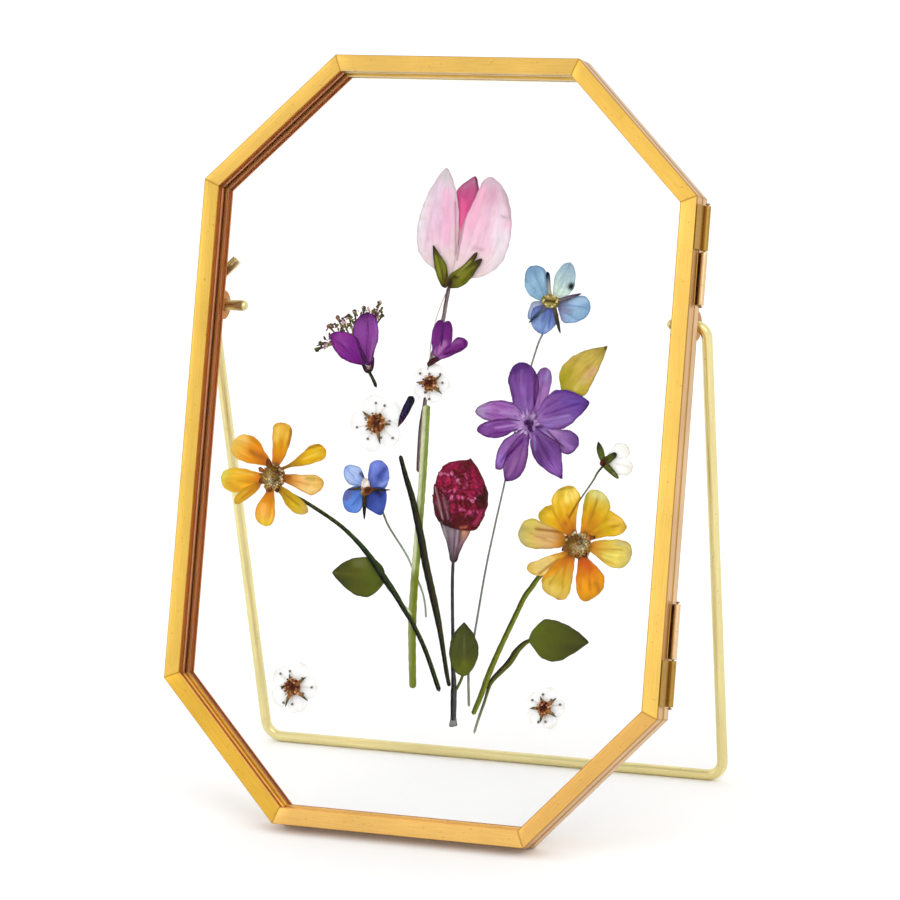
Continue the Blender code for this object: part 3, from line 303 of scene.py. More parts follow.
def even(points, spacing):
    """A closed outline with more points on its long runs, none further apart than about spacing."""
    ahead_of = np.roll(points, -1, 0)
    counts = np.maximum(1, np.ceil(np.linalg.norm(ahead_of - points, axis=1) / spacing)).astype(int)
    first = np.repeat(np.arange(len(points)), counts)
    share = (np.arange(counts.sum()) - np.repeat(np.cumsum(counts) - counts, counts)) / counts[first]
    return points[first] + (ahead_of - points)[first] * share[:, None]


def channel_ring(rear, mouth_rear, face, tones, crowned):
    """The folded channel's section, carried round the octagon with a fine groove at each mitre."""
    front = rear + RING_DEPTH
    section = [(0, rear), (0, front), (face, front), (face, mouth_rear + MOUTH), (OUTER_WALL, mouth_rear + MOUTH)]
    section += [(OUTER_WALL, mouth_rear), (face, mouth_rear), (face, rear)]
    section = even(rounded(section, FOLD_RADII), 0.5)
    ahead_of = np.roll(section, -1, 0) - np.roll(section, 1, 0)
    inner = unit(np.stack([ahead_of[:, 1], -ahead_of[:, 0]], -1))
    if crowned:
        on_face = section[:, 1] > front - CLOSE
        section[:, 1] -= np.where(on_face, CROWN * ((section[:, 0] - face / 2) / (face / 2)) ** 2, 0)
    steps = np.linalg.norm(np.roll(section, -1, 0) - section, axis=1)
    across = np.cumsum(steps) - steps
    side_length = np.linalg.norm(np.roll(outline(0.0), -1, 0) - outline(0.0), axis=1)
    stations = len(STATIONS)
    along = side_length[:, None] * STATIONS + SHIFTS  # (8 bars, stations)
    groove = np.where(np.arange(stations) == 0, MITRE_DEPTH, 0.0)
    grooved = section[None] + inner[None] * groove[:, None, None]  # (stations, section, 2)
    corners = outline(grooved[..., 0])  # (stations, section, 8, 2)
    start, end = np.moveaxis(corners, 2, 0), np.moveaxis(np.roll(corners, -1, 2), 2, 0)
    part_way = (along / side_length[:, None])[:, :, None, None]
    plane = start + (end - start) * part_way
    rows = 8 * stations
    fronts = np.broadcast_to(grooved[None, ..., 1], plane.shape[:-1]).reshape(rows, -1)
    points = on_panel(plane[..., 0].reshape(rows, -1), plane[..., 1].reshape(rows, -1), fronts)
    depth, height = section.T  # inwards from the outline, and forwards

    def by_bar(values):
        """One value for each bar, repeated at its stations."""
        return np.repeat(values, stations, 0)[:, None]

    # each bar starts from its painted light tone
    plating = by_bar([linear(tone) for tone in LIT_BAR_TONES]) * np.ones((1, len(section), 1))
    lip = depth > face - LIP
    fore = height > mouth_rear + MOUTH / 2
    pale, warm = by_bar(FLOOR_REFLECTING_BARS)[..., None], by_bar(PAINTED_GLOW_BARS)[..., None]  # floor and light on the lips
    # the lips take their painted shade and highlight tones
    for part, tone in ((lip & fore & (height < front - 0.12), tones[0]), (lip & ~fore, tones[1])):
        glow = tinted(linear(LIP_SHADE_AND_HIGHLIGHT_TONES[tone]), LIP_PAINTED_GLOW, warm * (tone in ("front", "copper")))
        plating[:, part] = tinted(glow, LIP_FLOOR_REFLECTION, pale)
    in_mouth = (height > mouth_rear - CLOSE) & (height < mouth_rear + MOUTH + CLOSE) & (depth > OUTER_WALL - CLOSE)
    plating[:, in_mouth & ~lip] = (*linear(FLUX_BROWN)[:3], 0.1)  # alpha is how bare the metal is
    # painted shade: the ledge that stands in behind the front ring is painted dark on the left bars
    if not crowned:  # the ledge that stands in behind the front ring
        ledge = (depth > FRONT_FACE - 0.1) & (height > front - 0.12)
        shaded_ledge_rows = slice(SHADED_LEDGE_BARS.start * stations, SHADED_LEDGE_BARS.stop * stations)
        plating[shaded_ledge_rows, ledge] = linear(LEDGE_SHADE)
    # the outer wall and its edges take their painted shade tones
    wall = depth < 0.12
    to_edge = np.minimum(height - rear, front - height)
    for part, tone in zip((wall, wall & (to_edge < 0.5)), WALL_SHADE_TONES[tones[0]]):
        plating[:, part] = linear(tone)
    distance = along.reshape(rows, 1)
    ends = np.minimum(distance, by_bar(side_length) - distance)
    lie = np.stack(np.broadcast_arrays(distance, across[None], by_bar(np.arange(8) * 7.3)), -1)
    return skin(points, closed=True, plating=plating, lie=lie, seam=ends)


def ranged(tree, value, low, high, to_low, to_high):
    """The value moved from the range low to high into the range to_low to to_high, and held inside it."""
    return add(tree, "ShaderNodeMapRange", {0: value, 1: low, 2: high, 3: to_low, 4: to_high}).outputs[0]


def blend(tree, share, first, second):
    """The first colour mixed with a share of the second."""
    return add(tree, "ShaderNodeMix", {0: share, 6: first, 7: second}, data_type="RGBA").outputs[2]


def plated_brass(name, roughness, brush_spacing, brush_length, tarnish):
    """Brushed brass under a thin layer of gold: a mirror warmth broken into fine lines along the metal. Its colour
    attribute brings the skins' tones, painted light and shade among them.
    """
    material, tree = new_material(name)
    lie = add(tree, "ShaderNodeAttribute", {}, attribute_name="lie").outputs["Vector"]
    plating = add(tree, "ShaderNodeAttribute", {}, attribute_name="plating").outputs
    seam = add(tree, "ShaderNodeAttribute", {}, attribute_name="seam").outputs["Fac"]
    place = add(tree, "ShaderNodeTexCoord", {}).outputs["Object"]
    brushed = (1 / brush_length, 1 / brush_spacing, 1.0)
    drawn_out = add(tree, "ShaderNodeVectorMath", {0: lie, 1: brushed}, operation="MULTIPLY").outputs[0]
    brushing = noise(tree, drawn_out, 1.0, 4.0, 0.65)
    clouds = noise(tree, place, 1000 / CLOUD, 3.0)
    specks = noise(tree, place, 1000 / SPECK, 2.0)
    stripe = ranged(tree, brushing, 0.3, 0.7, 0.86, 1.06)
    cloudy = ranged(tree, clouds, 0.3, 0.7, 0.93, 1.05)
    shade = add(tree, "ShaderNodeMath", {0: stripe, 1: cloudy}, operation="MULTIPLY").outputs[0]
    toned = add(tree, "ShaderNodeVectorMath", {0: plating["Color"], "Scale": shade}, operation="SCALE").outputs[0]
    at_seam = ranged(tree, seam, 0.08, 0.36, 0.7, 0.0)
    soldered = blend(tree, at_seam, toned, linear(SOLDER_BROWN))
    spotted = ranged(tree, specks, 0.66, 0.74, 0.0, tarnish)
    colour = blend(tree, spotted, soldered, linear(TARNISH))
    dulled = ranged(tree, brushing, 0.3, 0.7, roughness + 0.08, roughness - 0.05)
    lines = relief(tree, brushing, 0.25, 0.02)
    opaque(tree, {"Base Color": colour, "Metallic": plating["Alpha"], "Roughness": dulled, "Normal": lines})
    return material


brushed_gold = plated_brass("brushed_gold_plated_brass", 0.34, 0.22, 9.0, 0.35)
front_ring = channel_ring(DEPTH - RING_DEPTH, DEPTH - FACE_WALL - MOUTH, FRONT_FACE, ("front", "copper"), True)
make_piece("front_ring_channel", [front_ring], brushed_gold, "front_panel", ["front_ring"])
back_ring = channel_ring(0.0, FACE_WALL, BACK_FACE, ("dark", "reddish"), False)
make_piece("back_ring_channel", [back_ring], brushed_gold, "back_panel", ["back_ring"])

# ---------------- the two panes
# Thin float glass, cut to the octagon and slipped into the channels before they were soldered. It
# is clear, barely green at its cut edges, and ripples a reflection only a little.

glass, tree = new_material("clear_float_glass")
place = add(tree, "ShaderNodeTexCoord", {}).outputs["Object"]
RIPPLE, SMEAR = 40.0, 9.0  # draw ripple of the float line, and what wiping leaves
waved = relief(tree, noise(tree, place, 1000 / RIPPLE, 1.0), 0.05, 0.05)
wiped = ranged(tree, noise(tree, place, 1000 / SMEAR, 4.0), 0.45, 0.7, 0.0, 0.02)
body = {"Base Color": linear("#FFFFFF"), "Roughness": wiped, "IOR": 1.15, "Transmission Weight": 1.0, "Normal": waved}
clear = add(tree, "ShaderNodeBsdfPrincipled", body)
shadow_ray = add(tree, "ShaderNodeLightPath", {}).outputs["Is Shadow Ray"]
unshaded = add(tree, "ShaderNodeBsdfTransparent", {"Color": linear("#FDFEFE")})
lit = add(tree, "ShaderNodeMixShader", {0: shadow_ray, 1: clear.outputs[0], 2: unshaded.outputs[0]})
tint = add(tree, "ShaderNodeVolumeAbsorption", {"Color": linear("#DDF2EA"), "Density": 6.0})
add(tree, "ShaderNodeOutputMaterial", {"Surface": lit.outputs[0], "Volume": tint.outputs[0]})
for pane in ("back_glass", "front_glass"):
    frame["nodes"][pane].data.materials[0] = glass

# ---------------- hinges on the right side
# Each leaf is a strip of brass sheet soldered to its ring and rolled round the pin at its end; the
# pin is turned, with a small domed head above and below.

BARREL, LEAF_SHEET = 0.65, 0.4
HINGE_X, HINGE_FRONT, HINGE_REACH = WIDTH / 2 + 1.2, 2.8, 0.4
HINGE_PLACES = {"upper": (139.0, 152.5, 164.0), "lower": (64.0, 50.0, 38.3)}
# painted light and shade: the leaves are painted a darker brass and the knuckles' barrels a paler one, as the light
# falls on them
SHADED_LEAF_TONE, LIT_BARREL_TONE, PIN_TONE, GROOVE_FLUX = "#B08A42", "#E4C498", "#9A7438", "#AE8038"
FAR_FROM_SEAM = 9.0


def carried(centres, first, second, section, swell=1.0):
    """A closed section carried along a path: centre + first * p + second * q, for each (p, q) of the section.

    swell is the section's size at each station. Both ends close in a point at the path's own end.
    """
    swell = np.broadcast_to(np.asarray(swell, float), (len(centres),))[:, None, None]
    around = first[:, None] * section[None, :, :1] + second[:, None] * section[None, :, 1:]
    points = centres[:, None] + around * swell
    ends = [np.broadcast_to(centres[end], points[:1].shape) for end in (0, -1)]
    return np.concatenate([ends[0], points, ends[1]])


def metal_skin(points, tone, closed=False):
    """A skin with the fields that plated brass reads: its tone, and its lie along the rows and round the columns."""
    centres = points.mean(1)
    distance = np.concatenate([[0], np.cumsum(np.linalg.norm(np.diff(centres, axis=0), axis=1))])[:, None] / MM
    steps = np.linalg.norm(points - np.roll(points, 1, 1), axis=2).max(0) / MM
    lie = np.stack(np.broadcast_arrays(distance, np.cumsum(steps)[None], 0.0), -1)
    plating = np.broadcast_to(np.array(tone), points.shape[:2] + (4,))
    return skin(points, closed, plating=plating, lie=lie, seam=np.full(points.shape[:2], FAR_FROM_SEAM))


def slab(half_width, thickness, rounding, spacing):
    """Section of a sheet: a rectangle with rounded corners."""
    half = thickness / 2
    corners = [(-half_width, -half), (half_width, -half), (half_width, half), (-half_width, half)]
    return even(rounded(corners, (rounding,) * 4, 4), spacing)


def rolled_sheet(path, half_width, middle_h, thickness, tones):
    """Strip of sheet bent along a path of (x, front) places: a rounded rectangle carried along the path."""
    path = np.array(path, float)
    along = unit(np.gradient(path, axis=0))
    centres = on_panel(path[:, 0], middle_h, path[:, 1])
    first = np.tile(np.array(UP) * MM, (len(path), 1))
    second = (along[:, 1:] * np.array(ACROSS) - along[:, :1] * np.array(OUT)) * MM
    section = slab(half_width, thickness, thickness * 0.3, 1.2)
    tone = np.concatenate([tones[:1], tones, tones[-1:]])[:, None, :]
    return metal_skin(carried(centres, first, second, section), tone)


def hinge_half(end, joint, reach_front, painted_barrel_tone):
    """Leaf from its solder to the barrel, then rolled 330 degrees round the pin's place."""
    inner_end = joint + copysign(GAP / 2, end - joint)
    way = copysign(1.0, HINGE_FRONT - reach_front)
    flat = np.linspace(reach_front, HINGE_FRONT, 8)[:-1]
    angle = np.radians(180 - way * np.linspace(0, 330, 34))
    x = np.concatenate([WIDTH / 2 + 0.25 + 0.3 * np.clip(np.arange(7) / 3, 0, 1), HINGE_X + BARREL * np.cos(angle)])
    front = np.concatenate([flat, HINGE_FRONT + BARREL * np.sin(angle)])
    share = np.clip((np.arange(len(x)) - 6) / 6, 0, 1)[:, None]
    tones = tinted(linear(SHADED_LEAF_TONE), painted_barrel_tone, share)
    tones[7:][np.cos(angle) < -0.2] = (*linear(GROOVE_FLUX)[:3], 0.15)  # dull flux in the groove by the ring
    return rolled_sheet(np.stack([x, front], -1), abs(end - inner_end) / 2, (end + inner_end) / 2, LEAF_SHEET, tones)


def turned(profile, x, front, tone, sides=20):
    """Profile of (radius, h) places spun round an upright line of the panel."""
    profile = np.array(profile, float)
    angle = np.linspace(0, 2 * np.pi, sides, endpoint=False)
    across = x + profile[:, :1] * np.cos(angle)
    return metal_skin(on_panel(across, profile[:, 1:], front + profile[:, :1] * np.sin(angle)), linear(tone))


plain_gold = plated_brass("gold_plated_brass_sheet", 0.32, 0.3, 4.0, 0.45)
pin_brass = plated_brass("turned_brass", 0.4, 0.2, 1.0, 0.6)
PIN, PIN_HEAD = 0.25, 0.6
for side, (end, joint, far_end) in HINGE_PLACES.items():
    knuckle = hinge_half(end, joint, HINGE_REACH, LIT_BARREL_TONE)
    make_piece(f"{side}_knuckle_sheet", [knuckle], plain_gold, "back_panel", [f"{side}_hinge_knuckle"])
    leaf = hinge_half(far_end, joint, DEPTH - HINGE_REACH, SHADED_LEAF_TONE)
    make_piece(f"{side}_leaf_sheet", [leaf], plain_gold, "front_panel", [f"{side}_hinge_leaf"])
    low, high = min(end, far_end) - GAP, max(end, far_end) + GAP
    head = [(0, 0.4), (0.25, 0.38), (0.45, 0.28), (PIN_HEAD, 0.12), (PIN_HEAD, 0.0), (PIN, 0.0)]
    profile = [(radius, high + rise) for radius, rise in head] + [(radius, low - rise) for radius, rise in head[::-1]]
    pin = turned(profile, HINGE_X, HINGE_FRONT, PIN_TONE)
    make_piece(f"{side}_pin_turned", [pin], pin_brass, "back_panel", [f"{side}_hinge_pin"])

# ---------------- ears behind the frame
# A drilled lug of thick brass soldered behind each side: round at the back, square where it meets
# the frame. The stand's wire turns in its hole. The lug is given a browner tone than the frame.

EAR_X, EAR_THICK, EAR_RADIUS, EAR_TONE = 66.35, 1.0, 3.8, "#B87A34"
PIVOT_H, PIVOT_BEHIND, WIRE = 134.5, 4.6, 1.4
angle = np.linspace(0, 2 * np.pi, 72, endpoint=False)[:, None]
forward, sideways = np.cos(angle), np.sin(angle)
square = np.minimum(EAR_RADIUS / np.maximum(abs(sideways), 1e-6), (PIVOT_BEHIND - GAP) / np.maximum(forward, 1e-6))
edge = np.where(forward > 0, square, EAR_RADIUS)
half = EAR_THICK / 2
rim = even(rounded([(0, -half), (1, -half), (1, half), (0, half)], (0.05, 0.08, 0.08, 0.05), 4), 0.4)
hole = WIRE + GAP
radius = hole + (edge - hole) * rim[None, :, 0]
for side, sign in (("left", -1), ("right", 1)):
    x = sign * EAR_X + rim[None, :, 1]
    places = on_panel(x, PIVOT_H + radius * sideways, radius * forward - PIVOT_BEHIND)
    ear = metal_skin(places, linear(EAR_TONE), True)
    make_piece(f"{side}_ear_plate", [ear], plain_gold, "back_panel", [f"{side}_ear"])

# ---------------- turning latch and its rivet
# A scrap of brass sheet folded to a trough, open towards the frame. It turns on a domed rivet
# behind the upper left bar.

LATCH_LENGTH, LATCH_WIDTH, LATCH_DEPTH, LATCH_OFF, LATCH_SHEET = 7.3, 2.6, 1.6, 0.4, 0.45
LATCH_TURN = radians(45.0)
# painted light and shade: the tab is painted pale as lit, and darker inside its trough as shade
LIT_TAB_TONE, TAB_INSIDE_SHADE, RIVET_TONE = "#F6EAC4", "#E0CC94", "#C09040"
half, bend = LATCH_WIDTH / 2 - LATCH_SHEET / 2, 0.45
deep, shallow = LATCH_OFF + LATCH_DEPTH - LATCH_SHEET / 2, LATCH_OFF
quarter = np.radians(np.linspace(90, 0, 7))
wall = np.stack([half - bend + bend * np.cos(quarter), deep - bend + bend * np.sin(quarter)], -1)
floor_run = np.stack([np.linspace(0, half - bend, 5)[:-1], np.full(4, deep)], -1)
side_run = np.stack([np.full(3, half), np.linspace(deep - bend, shallow, 4)[1:]], -1)
one_side = np.concatenate([floor_run, wall, side_run])
fold = np.concatenate([one_side[::-1] * (-1, 1), one_side[1:]])  # (sideways, behind)
along = unit(np.gradient(fold, axis=0))
lengthways = np.array(cos(LATCH_TURN) * ACROSS + sin(LATCH_TURN) * UP)
sideways_dir = np.array(sin(LATCH_TURN) * ACROSS - cos(LATCH_TURN) * UP)
middle = (LATCH_LENGTH - LATCH_WIDTH / 2) / 2
centre = on_panel(LATCH_X, LATCH_H, 0.0) + lengthways * middle * MM
centres = centre + (fold[:, :1] * sideways_dir - fold[:, 1:] * np.array(OUT)) * MM
first = np.tile(lengthways * MM, (len(fold), 1))
second = (along[:, 1:] * sideways_dir + along[:, :1] * np.array(OUT)) * MM
reach_half = (LATCH_LENGTH + LATCH_WIDTH / 2) / 2
section = slab(reach_half, LATCH_SHEET, 0.14, 0.8)
off_middle = abs(np.arange(len(fold) + 2) - (len(fold) + 1) / 2)[:, None, None]
along_section, across_section = section[None, :, :1], section[None, :, 1:]
# the inside of the trough, away from its edges, takes the painted shade tone
shaded_inside = (across_section > 0.1) & (abs(along_section) < reach_half - 0.3) & (off_middle < len(fold) / 2 - 2)
tab = metal_skin(carried(centres, first, second, section), np.where(shaded_inside, linear(TAB_INSIDE_SHADE), linear(LIT_TAB_TONE)))
make_piece("latch_folded_tab", [tab], plain_gold, "latch", ["latch_tab"])
back = LATCH_OFF + LATCH_DEPTH + GAP
head = [(0, back + 0.3), (0.5, back + 0.27), (0.95, back + 0.14), (1.2, back)]
profile = np.array(head + [(0.6, back), (0.6, GAP), (0.0, GAP)])
angle = np.linspace(0, 2 * np.pi, 24, endpoint=False)
x = LATCH_X + profile[:, :1] * np.cos(angle)
rivet = metal_skin(on_panel(x, LATCH_H + profile[:, :1] * np.sin(angle), -profile[:, 1:]), linear(RIVET_TONE))
make_piece("latch_domed_rivet", [rivet], pin_brass, "back_panel", ["latch_rivet"])

# ---------------- wire stand
# One length of drawn brass wire, bent to two legs and a bar, its ends turned in through the ears.
# Drawing leaves faint lines along it, and its thin plating is paler than the frame's.

PIN_END_X, LEG_TOP_X, LEG_FOOT_X = 59.0, 69.4, 66.1
FOOT_Y = 26.697  # middle of the bottom bar, behind the middle of the object
EAR_BEND, FOOT_BEND = 3.0, 4.5
# the wire is darker where it turns in the ears
WIRE_TONE, EAR_END_TONE = "#E8DA9C", "#A07C3C"
pivot = np.array(joints["stand_pivot"]["pos_m"]) / MM
foot = np.array((0.0, FOOT_Y, WIRE))
down_leg = (foot - pivot) / np.linalg.norm(foot - pivot)
leg = np.linalg.norm(foot - pivot)


def bent_wire(corners, radii, steps=9):
    """Open polyline in a plane with each inner corner bent to an arc.

    The arc is centre + (start sin((1-t) a) + end sin(t a)) / sin(a), a being the angle it turns by.
    """
    corners, radii = np.array(corners, float), np.array(radii)
    corner = corners[1:-1]
    back, on = unit(corners[:-2] - corner), unit(corners[2:] - corner)
    half_angle = np.arccos((back * on).sum(1)) / 2
    centre = corner + unit(back + on) * (radii / np.sin(half_angle))[:, None]
    tangent = (radii / np.tan(half_angle))[:, None]
    start, end = corner + back * tangent - centre, corner + on * tangent - centre
    by = np.pi - 2 * half_angle[:, None]
    t = np.linspace(0, 1, steps)[None]
    from_start, from_end = ((np.sin(part * by) / np.sin(by))[..., None] for part in (1 - t, t))
    arcs = centre[:, None] + start[:, None] * from_start + end[:, None] * from_end
    return np.concatenate([corners[:1], arcs.reshape(-1, 2), corners[-1:]])


plan = [(-PIN_END_X, 0), (-LEG_TOP_X, 0), (-LEG_FOOT_X, leg), (LEG_FOOT_X, leg), (LEG_TOP_X, 0), (PIN_END_X, 0)]
route = bent_wire(plan, (EAR_BEND, FOOT_BEND, FOOT_BEND, EAR_BEND))
spans = np.maximum(1, (np.linalg.norm(np.diff(route, axis=0), axis=1) / 4.0).astype(int))
first_of = np.repeat(np.arange(len(spans)), spans)
share = (np.arange(spans.sum()) - np.repeat(np.cumsum(spans) - spans, spans)) / spans[first_of]
route = np.concatenate([route[first_of] + np.diff(route, axis=0)[first_of] * share[:, None], route[-1:]])
dome = np.array([0.35, 0.7, 0.92])  # both ends are rounded over
tip_in = WIRE * (1 - np.sqrt(1 - dome**2))
start_way, end_way = unit(route[1] - route[0]), unit(route[-2] - route[-1])
route = np.concatenate([route[:1] + start_way * tip_in[:, None], route[:1] + start_way * WIRE, route[1:-1]])
route = np.concatenate([route, plan[-1:] + end_way * WIRE, plan[-1:] + end_way * tip_in[::-1, None]])
swell = np.ones(len(route))
swell[:3], swell[-3:] = dome, dome[::-1]
along = unit(np.gradient(route, axis=0))
centres = (pivot + route[:, :1] * np.array(ACROSS) + route[:, 1:] * down_leg) * MM
flat_normal = np.cross(np.array(ACROSS), down_leg)
first = np.tile(flat_normal * WIRE * MM, (len(route), 1))
second = (along[:, 1:] * np.array(ACROSS) - along[:, :1] * down_leg) * WIRE * MM
angle = np.linspace(0, 2 * np.pi, 20, endpoint=False)
section = np.stack([np.cos(angle), np.sin(angle)], -1)
drawn_wire = plated_brass("drawn_brass_wire", 0.3, 0.35, 14.0, 0.3)
from_tip = PIN_END_X + 7.0 - abs(np.concatenate([route[:1, 0], route[:, 0], route[-1:, 0]]))
low = np.concatenate([[0], route[:, 1], [0]])
by_ear = np.clip(np.minimum(from_tip - 1.0, 2.0 - low), 0, 1) * (from_tip < 5.8)  # dark where it turns in the ear
tones = tinted(linear(WIRE_TONE), EAR_END_TONE, by_ear[:, None, None])
wire = metal_skin(carried(centres, first, second, section, swell), tones)
make_piece("bent_wire_stand", [wire], drawn_wire, "stand", ["wire_stand"])

# ---------------- the pink tulip-like bloom
# Two broad pressed petals with a deep pink one between them, a green calyx and a thin stem. Dried
# petals keep fine lengthwise veins and darken wherever they are folded; their grey rims are partly
# their dried edges and partly painted shade where one petal lies on another.

BACK, MID, NEAR, TOP = 2.9, 3.6, 4.3, 5.0  # middles of the four layers that the specimens are pressed in
PETAL_THICK, STALK_THICK, STALK_SIDES = 0.2, 0.34, 16
BRANCH_VEIN, MAIN_VEIN = 0.13, 0.2  # widths of a leaf's veins
BLOTCH = 2.2
BROWNING = (0.72, 0.56, 0.42)  # what is left of a dye's red, green and blue where it browns
STRAY = 0.018  # light that the panes lay over every dye, taken off the dye itself
DARKEST = 0.001


def through(values, place):
    """Smooth curve through evenly spaced values, read at places from 0 to 1 (Catmull-Rom)."""
    values = np.asarray(values, float)
    last = len(values) - 1
    span = np.minimum((place * last).astype(int), last - 1)
    t = place * last - span
    t = t.reshape(t.shape + (1,) * (values.ndim - 1))
    before, start, end, after = (values[np.clip(span + k, 0, last)] for k in (-1, 0, 1, 2))
    bend = 2 * start + (end - before) * t + (2 * before - 5 * start + 4 * end - after) * t**2
    return (bend + (3 * start - before - 3 * end + after) * t**3) / 2


def waver(distance, seed):
    """Irregular line of about -1 to 1: three sines of 3.1, 1.4 and 0.6 mm with phases from the seed."""
    turns = 2 * np.pi * np.asarray(distance)
    long, middling, short = turns / 3.1 + seed, turns / 1.4 + seed * 2.7, turns / 0.6 + seed * 5.1
    return 0.5 * np.sin(long) + 0.3 * np.sin(middling) + 0.2 * np.sin(short)


def touched(dye, x, h, touches):
    """The dye with soft touches of colour laid over it, one after another.

    A touch is (x, h, end x, end h, radius, colour, strength). Its weight is strength times
    (1 - d^2 / radius^2)^2, d being the distance from its line.
    """
    for x1, h1, x2, h2, radius, colour, strength in touches:
        run_x, run_h = x2 - x1, h2 - h1
        share = np.clip(((x - x1) * run_x + (h - h1) * run_h) / max(run_x**2 + run_h**2, 1e-6), 0, 1)
        apart = (x - x1 - share * run_x) ** 2 + (h - h1 - share * run_h) ** 2
        dye = tinted(dye, colour, (strength * np.clip(1 - apart / radius**2, 0, 1) ** 2)[..., None])
    return dye


def petal(
    base, tip, left, right, front, dyes, touches=(), rim=None, veins=None,
    ragged=0.05, thick=PETAL_THICK, grid=(34, 40), bow=0.07,
):
    """One pressed petal, sepal or leaf, as a closed skin of (rows, columns).

    Rows run from base to tip at (1 - cos(pi t)) / 2 of its length, columns round its section:
    across = half width * cos(w), front = thickness * sin(w). left and right are its half widths,
    seen from base to tip, at even steps of t: five of them stand at 7, 25, 50, 75 and 93 % of its
    length. With None to the right both sides are the same. The dyes are hex codes from base to tip.
    """
    rows, columns = grid
    base, tip = np.array(base, float), np.array(tip, float)
    length = np.linalg.norm(tip - base)
    along = (tip - base) / length
    leftwards = np.array((-along[1], along[0]))
    seed = base[0] * 1.31 + base[1] * 0.77 + tip[0] * 0.53
    t = np.linspace(0, 1, rows)
    share = (1 - np.cos(np.pi * t)) / 2
    widths = []
    for values, shift in ((left, 0.0), (right or left, 2.0)):
        width = np.maximum(through((0.0, *values, 0.0), t), 0.04)
        jagged = ragged * waver(share * length, seed + shift) * np.minimum(1, 1.2 / np.sqrt(width + 0.2))
        widths.append(width * (1 + jagged))
    w = 2 * np.pi * (np.arange(columns) + 0.5) / columns
    side = np.cos(w)[None]
    half_width = np.where(side > 0, widths[0][:, None], widths[1][:, None])
    across = half_width * side
    run = (share * length)[:, None] * np.ones((1, columns))
    run = run + ragged * 1.5 * waver(across, seed) * (share**3)[:, None]
    x = base[0] + along[0] * run + leftwards[0] * across
    h = base[1] + along[1] * run + leftwards[1] * across
    to_rim = np.minimum(half_width * (1 - abs(side)), np.minimum(share, 1 - share)[:, None] * length + 0.02)
    dye = through([linear(code) for code in dyes.split()], np.clip(share[:, None] + 0.03 * waver(across, seed), 0, 1))
    dye = np.clip(dye, 0, 1)
    lift = bow * (side**2 - 0.5) + 0.04 * waver(run / 2.2 + across / 3, seed)
    if veins:
        spacing, slope, colour, strength = veins
        place = (run - abs(across) * slope + 0.15 * waver(across, seed)) / spacing
        from_vein = abs(place - np.round(place)) * spacing / hypot(1, slope)
        branches, main = np.exp(-((from_vein / BRANCH_VEIN) ** 2)) * 0.6, np.exp(-((across / MAIN_VEIN) ** 2))
        vein = np.maximum(branches, main) * np.minimum(1, to_rim / 0.5)
        dye = tinted(dye, colour, (strength * vein)[..., None])
        lift = lift + 0.06 * vein
    before = dye[..., :3].sum(-1)
    dye = touched(dye, x, h, touches)
    lift = lift + 0.1 * np.clip(dye[..., :3].sum(-1) - before, -1, 1)  # dark folds lie lower
    # the rim tint is the dried edge's own colour and also painted shade where one petal lies on another
    if rim:
        colour, width, strength = rim
        uneven = 0.7 + 0.3 * waver(run, seed + 1)
        dye = tinted(dye, colour, np.clip(strength * uneven * np.exp(-((to_rim / width) ** 2)), 0, 1)[..., None])
    swell = np.sign(np.sin(w)) * abs(np.sin(w)) ** 0.4 * thick / 2
    points = on_panel(x, h, front + lift * np.minimum(1, 4 * np.sin(np.pi * t))[:, None] + swell[None])
    for end in (0, -1):
        points[end] = points[end].mean(0)
    mean_width = (widths[0].mean() + widths[1].mean()) / 2
    lie = np.stack(np.broadcast_arrays(run, side * mean_width, seed), -1)
    return skin(points, dye=dye, lie=lie)


def stalk(route, widths, front, dyes, end_front=None, sides=None, touches=(), thick=STALK_THICK):
    """A dried stem: an oval section carried along a smooth route, its dyes in hex codes along it.

    sides is (left colour, right colour, strength), which tints its two halves: painted shade, the
    half towards the light lighter, except on the split stem, where the pale half is its pith.
    """
    route = np.array(route, float)
    length = np.linalg.norm(np.diff(route, axis=0), axis=1).sum()
    t = np.linspace(0, 1, max(8, int(length / 0.7)))
    place = through(route, t)
    along = unit(np.gradient(place, axis=0))
    distance = np.concatenate([[0], np.cumsum(np.linalg.norm(np.diff(place, axis=0), axis=1))])
    seed = route[0, 0] * 1.7 + route[0, 1] * 0.9
    width = through(widths if np.ndim(widths) else (widths, widths), t) * (1 + 0.07 * waver(distance, seed))
    width = width * np.clip(np.sqrt(np.minimum(distance, distance[-1] - distance) / 0.5 + 0.05), 0, 1)
    w = 2 * np.pi * (np.arange(STALK_SIDES) + 0.5) / STALK_SIDES
    across = np.cos(w) * width[:, None] / 2
    rise = np.sign(np.sin(w)) * abs(np.sin(w)) ** 0.7 * thick / 2
    x = place[:, :1] - along[:, 1:] * across
    h = place[:, 1:] + along[:, :1] * across
    fronts = front + ((end_front or front) - front) * t[:, None] + rise
    dye = through([linear(code) for code in dyes.split()], t)[:, None] * np.ones((1, STALK_SIDES, 1))
    if sides:
        left, right, strength = sides
        half = np.array([linear(left), linear(right)])[(across < 0).astype(int)]
        dye = dye * (1 - strength) + half * strength
    dye = touched(np.clip(dye, 0, 1), x, h, touches)
    points = on_panel(x, h, fronts)
    for end in (0, -1):
        points[end] = points[end].mean(0)
    lie = np.stack(np.broadcast_arrays(distance[:, None], across, seed), -1)
    return skin(points, dye=dye, lie=lie)


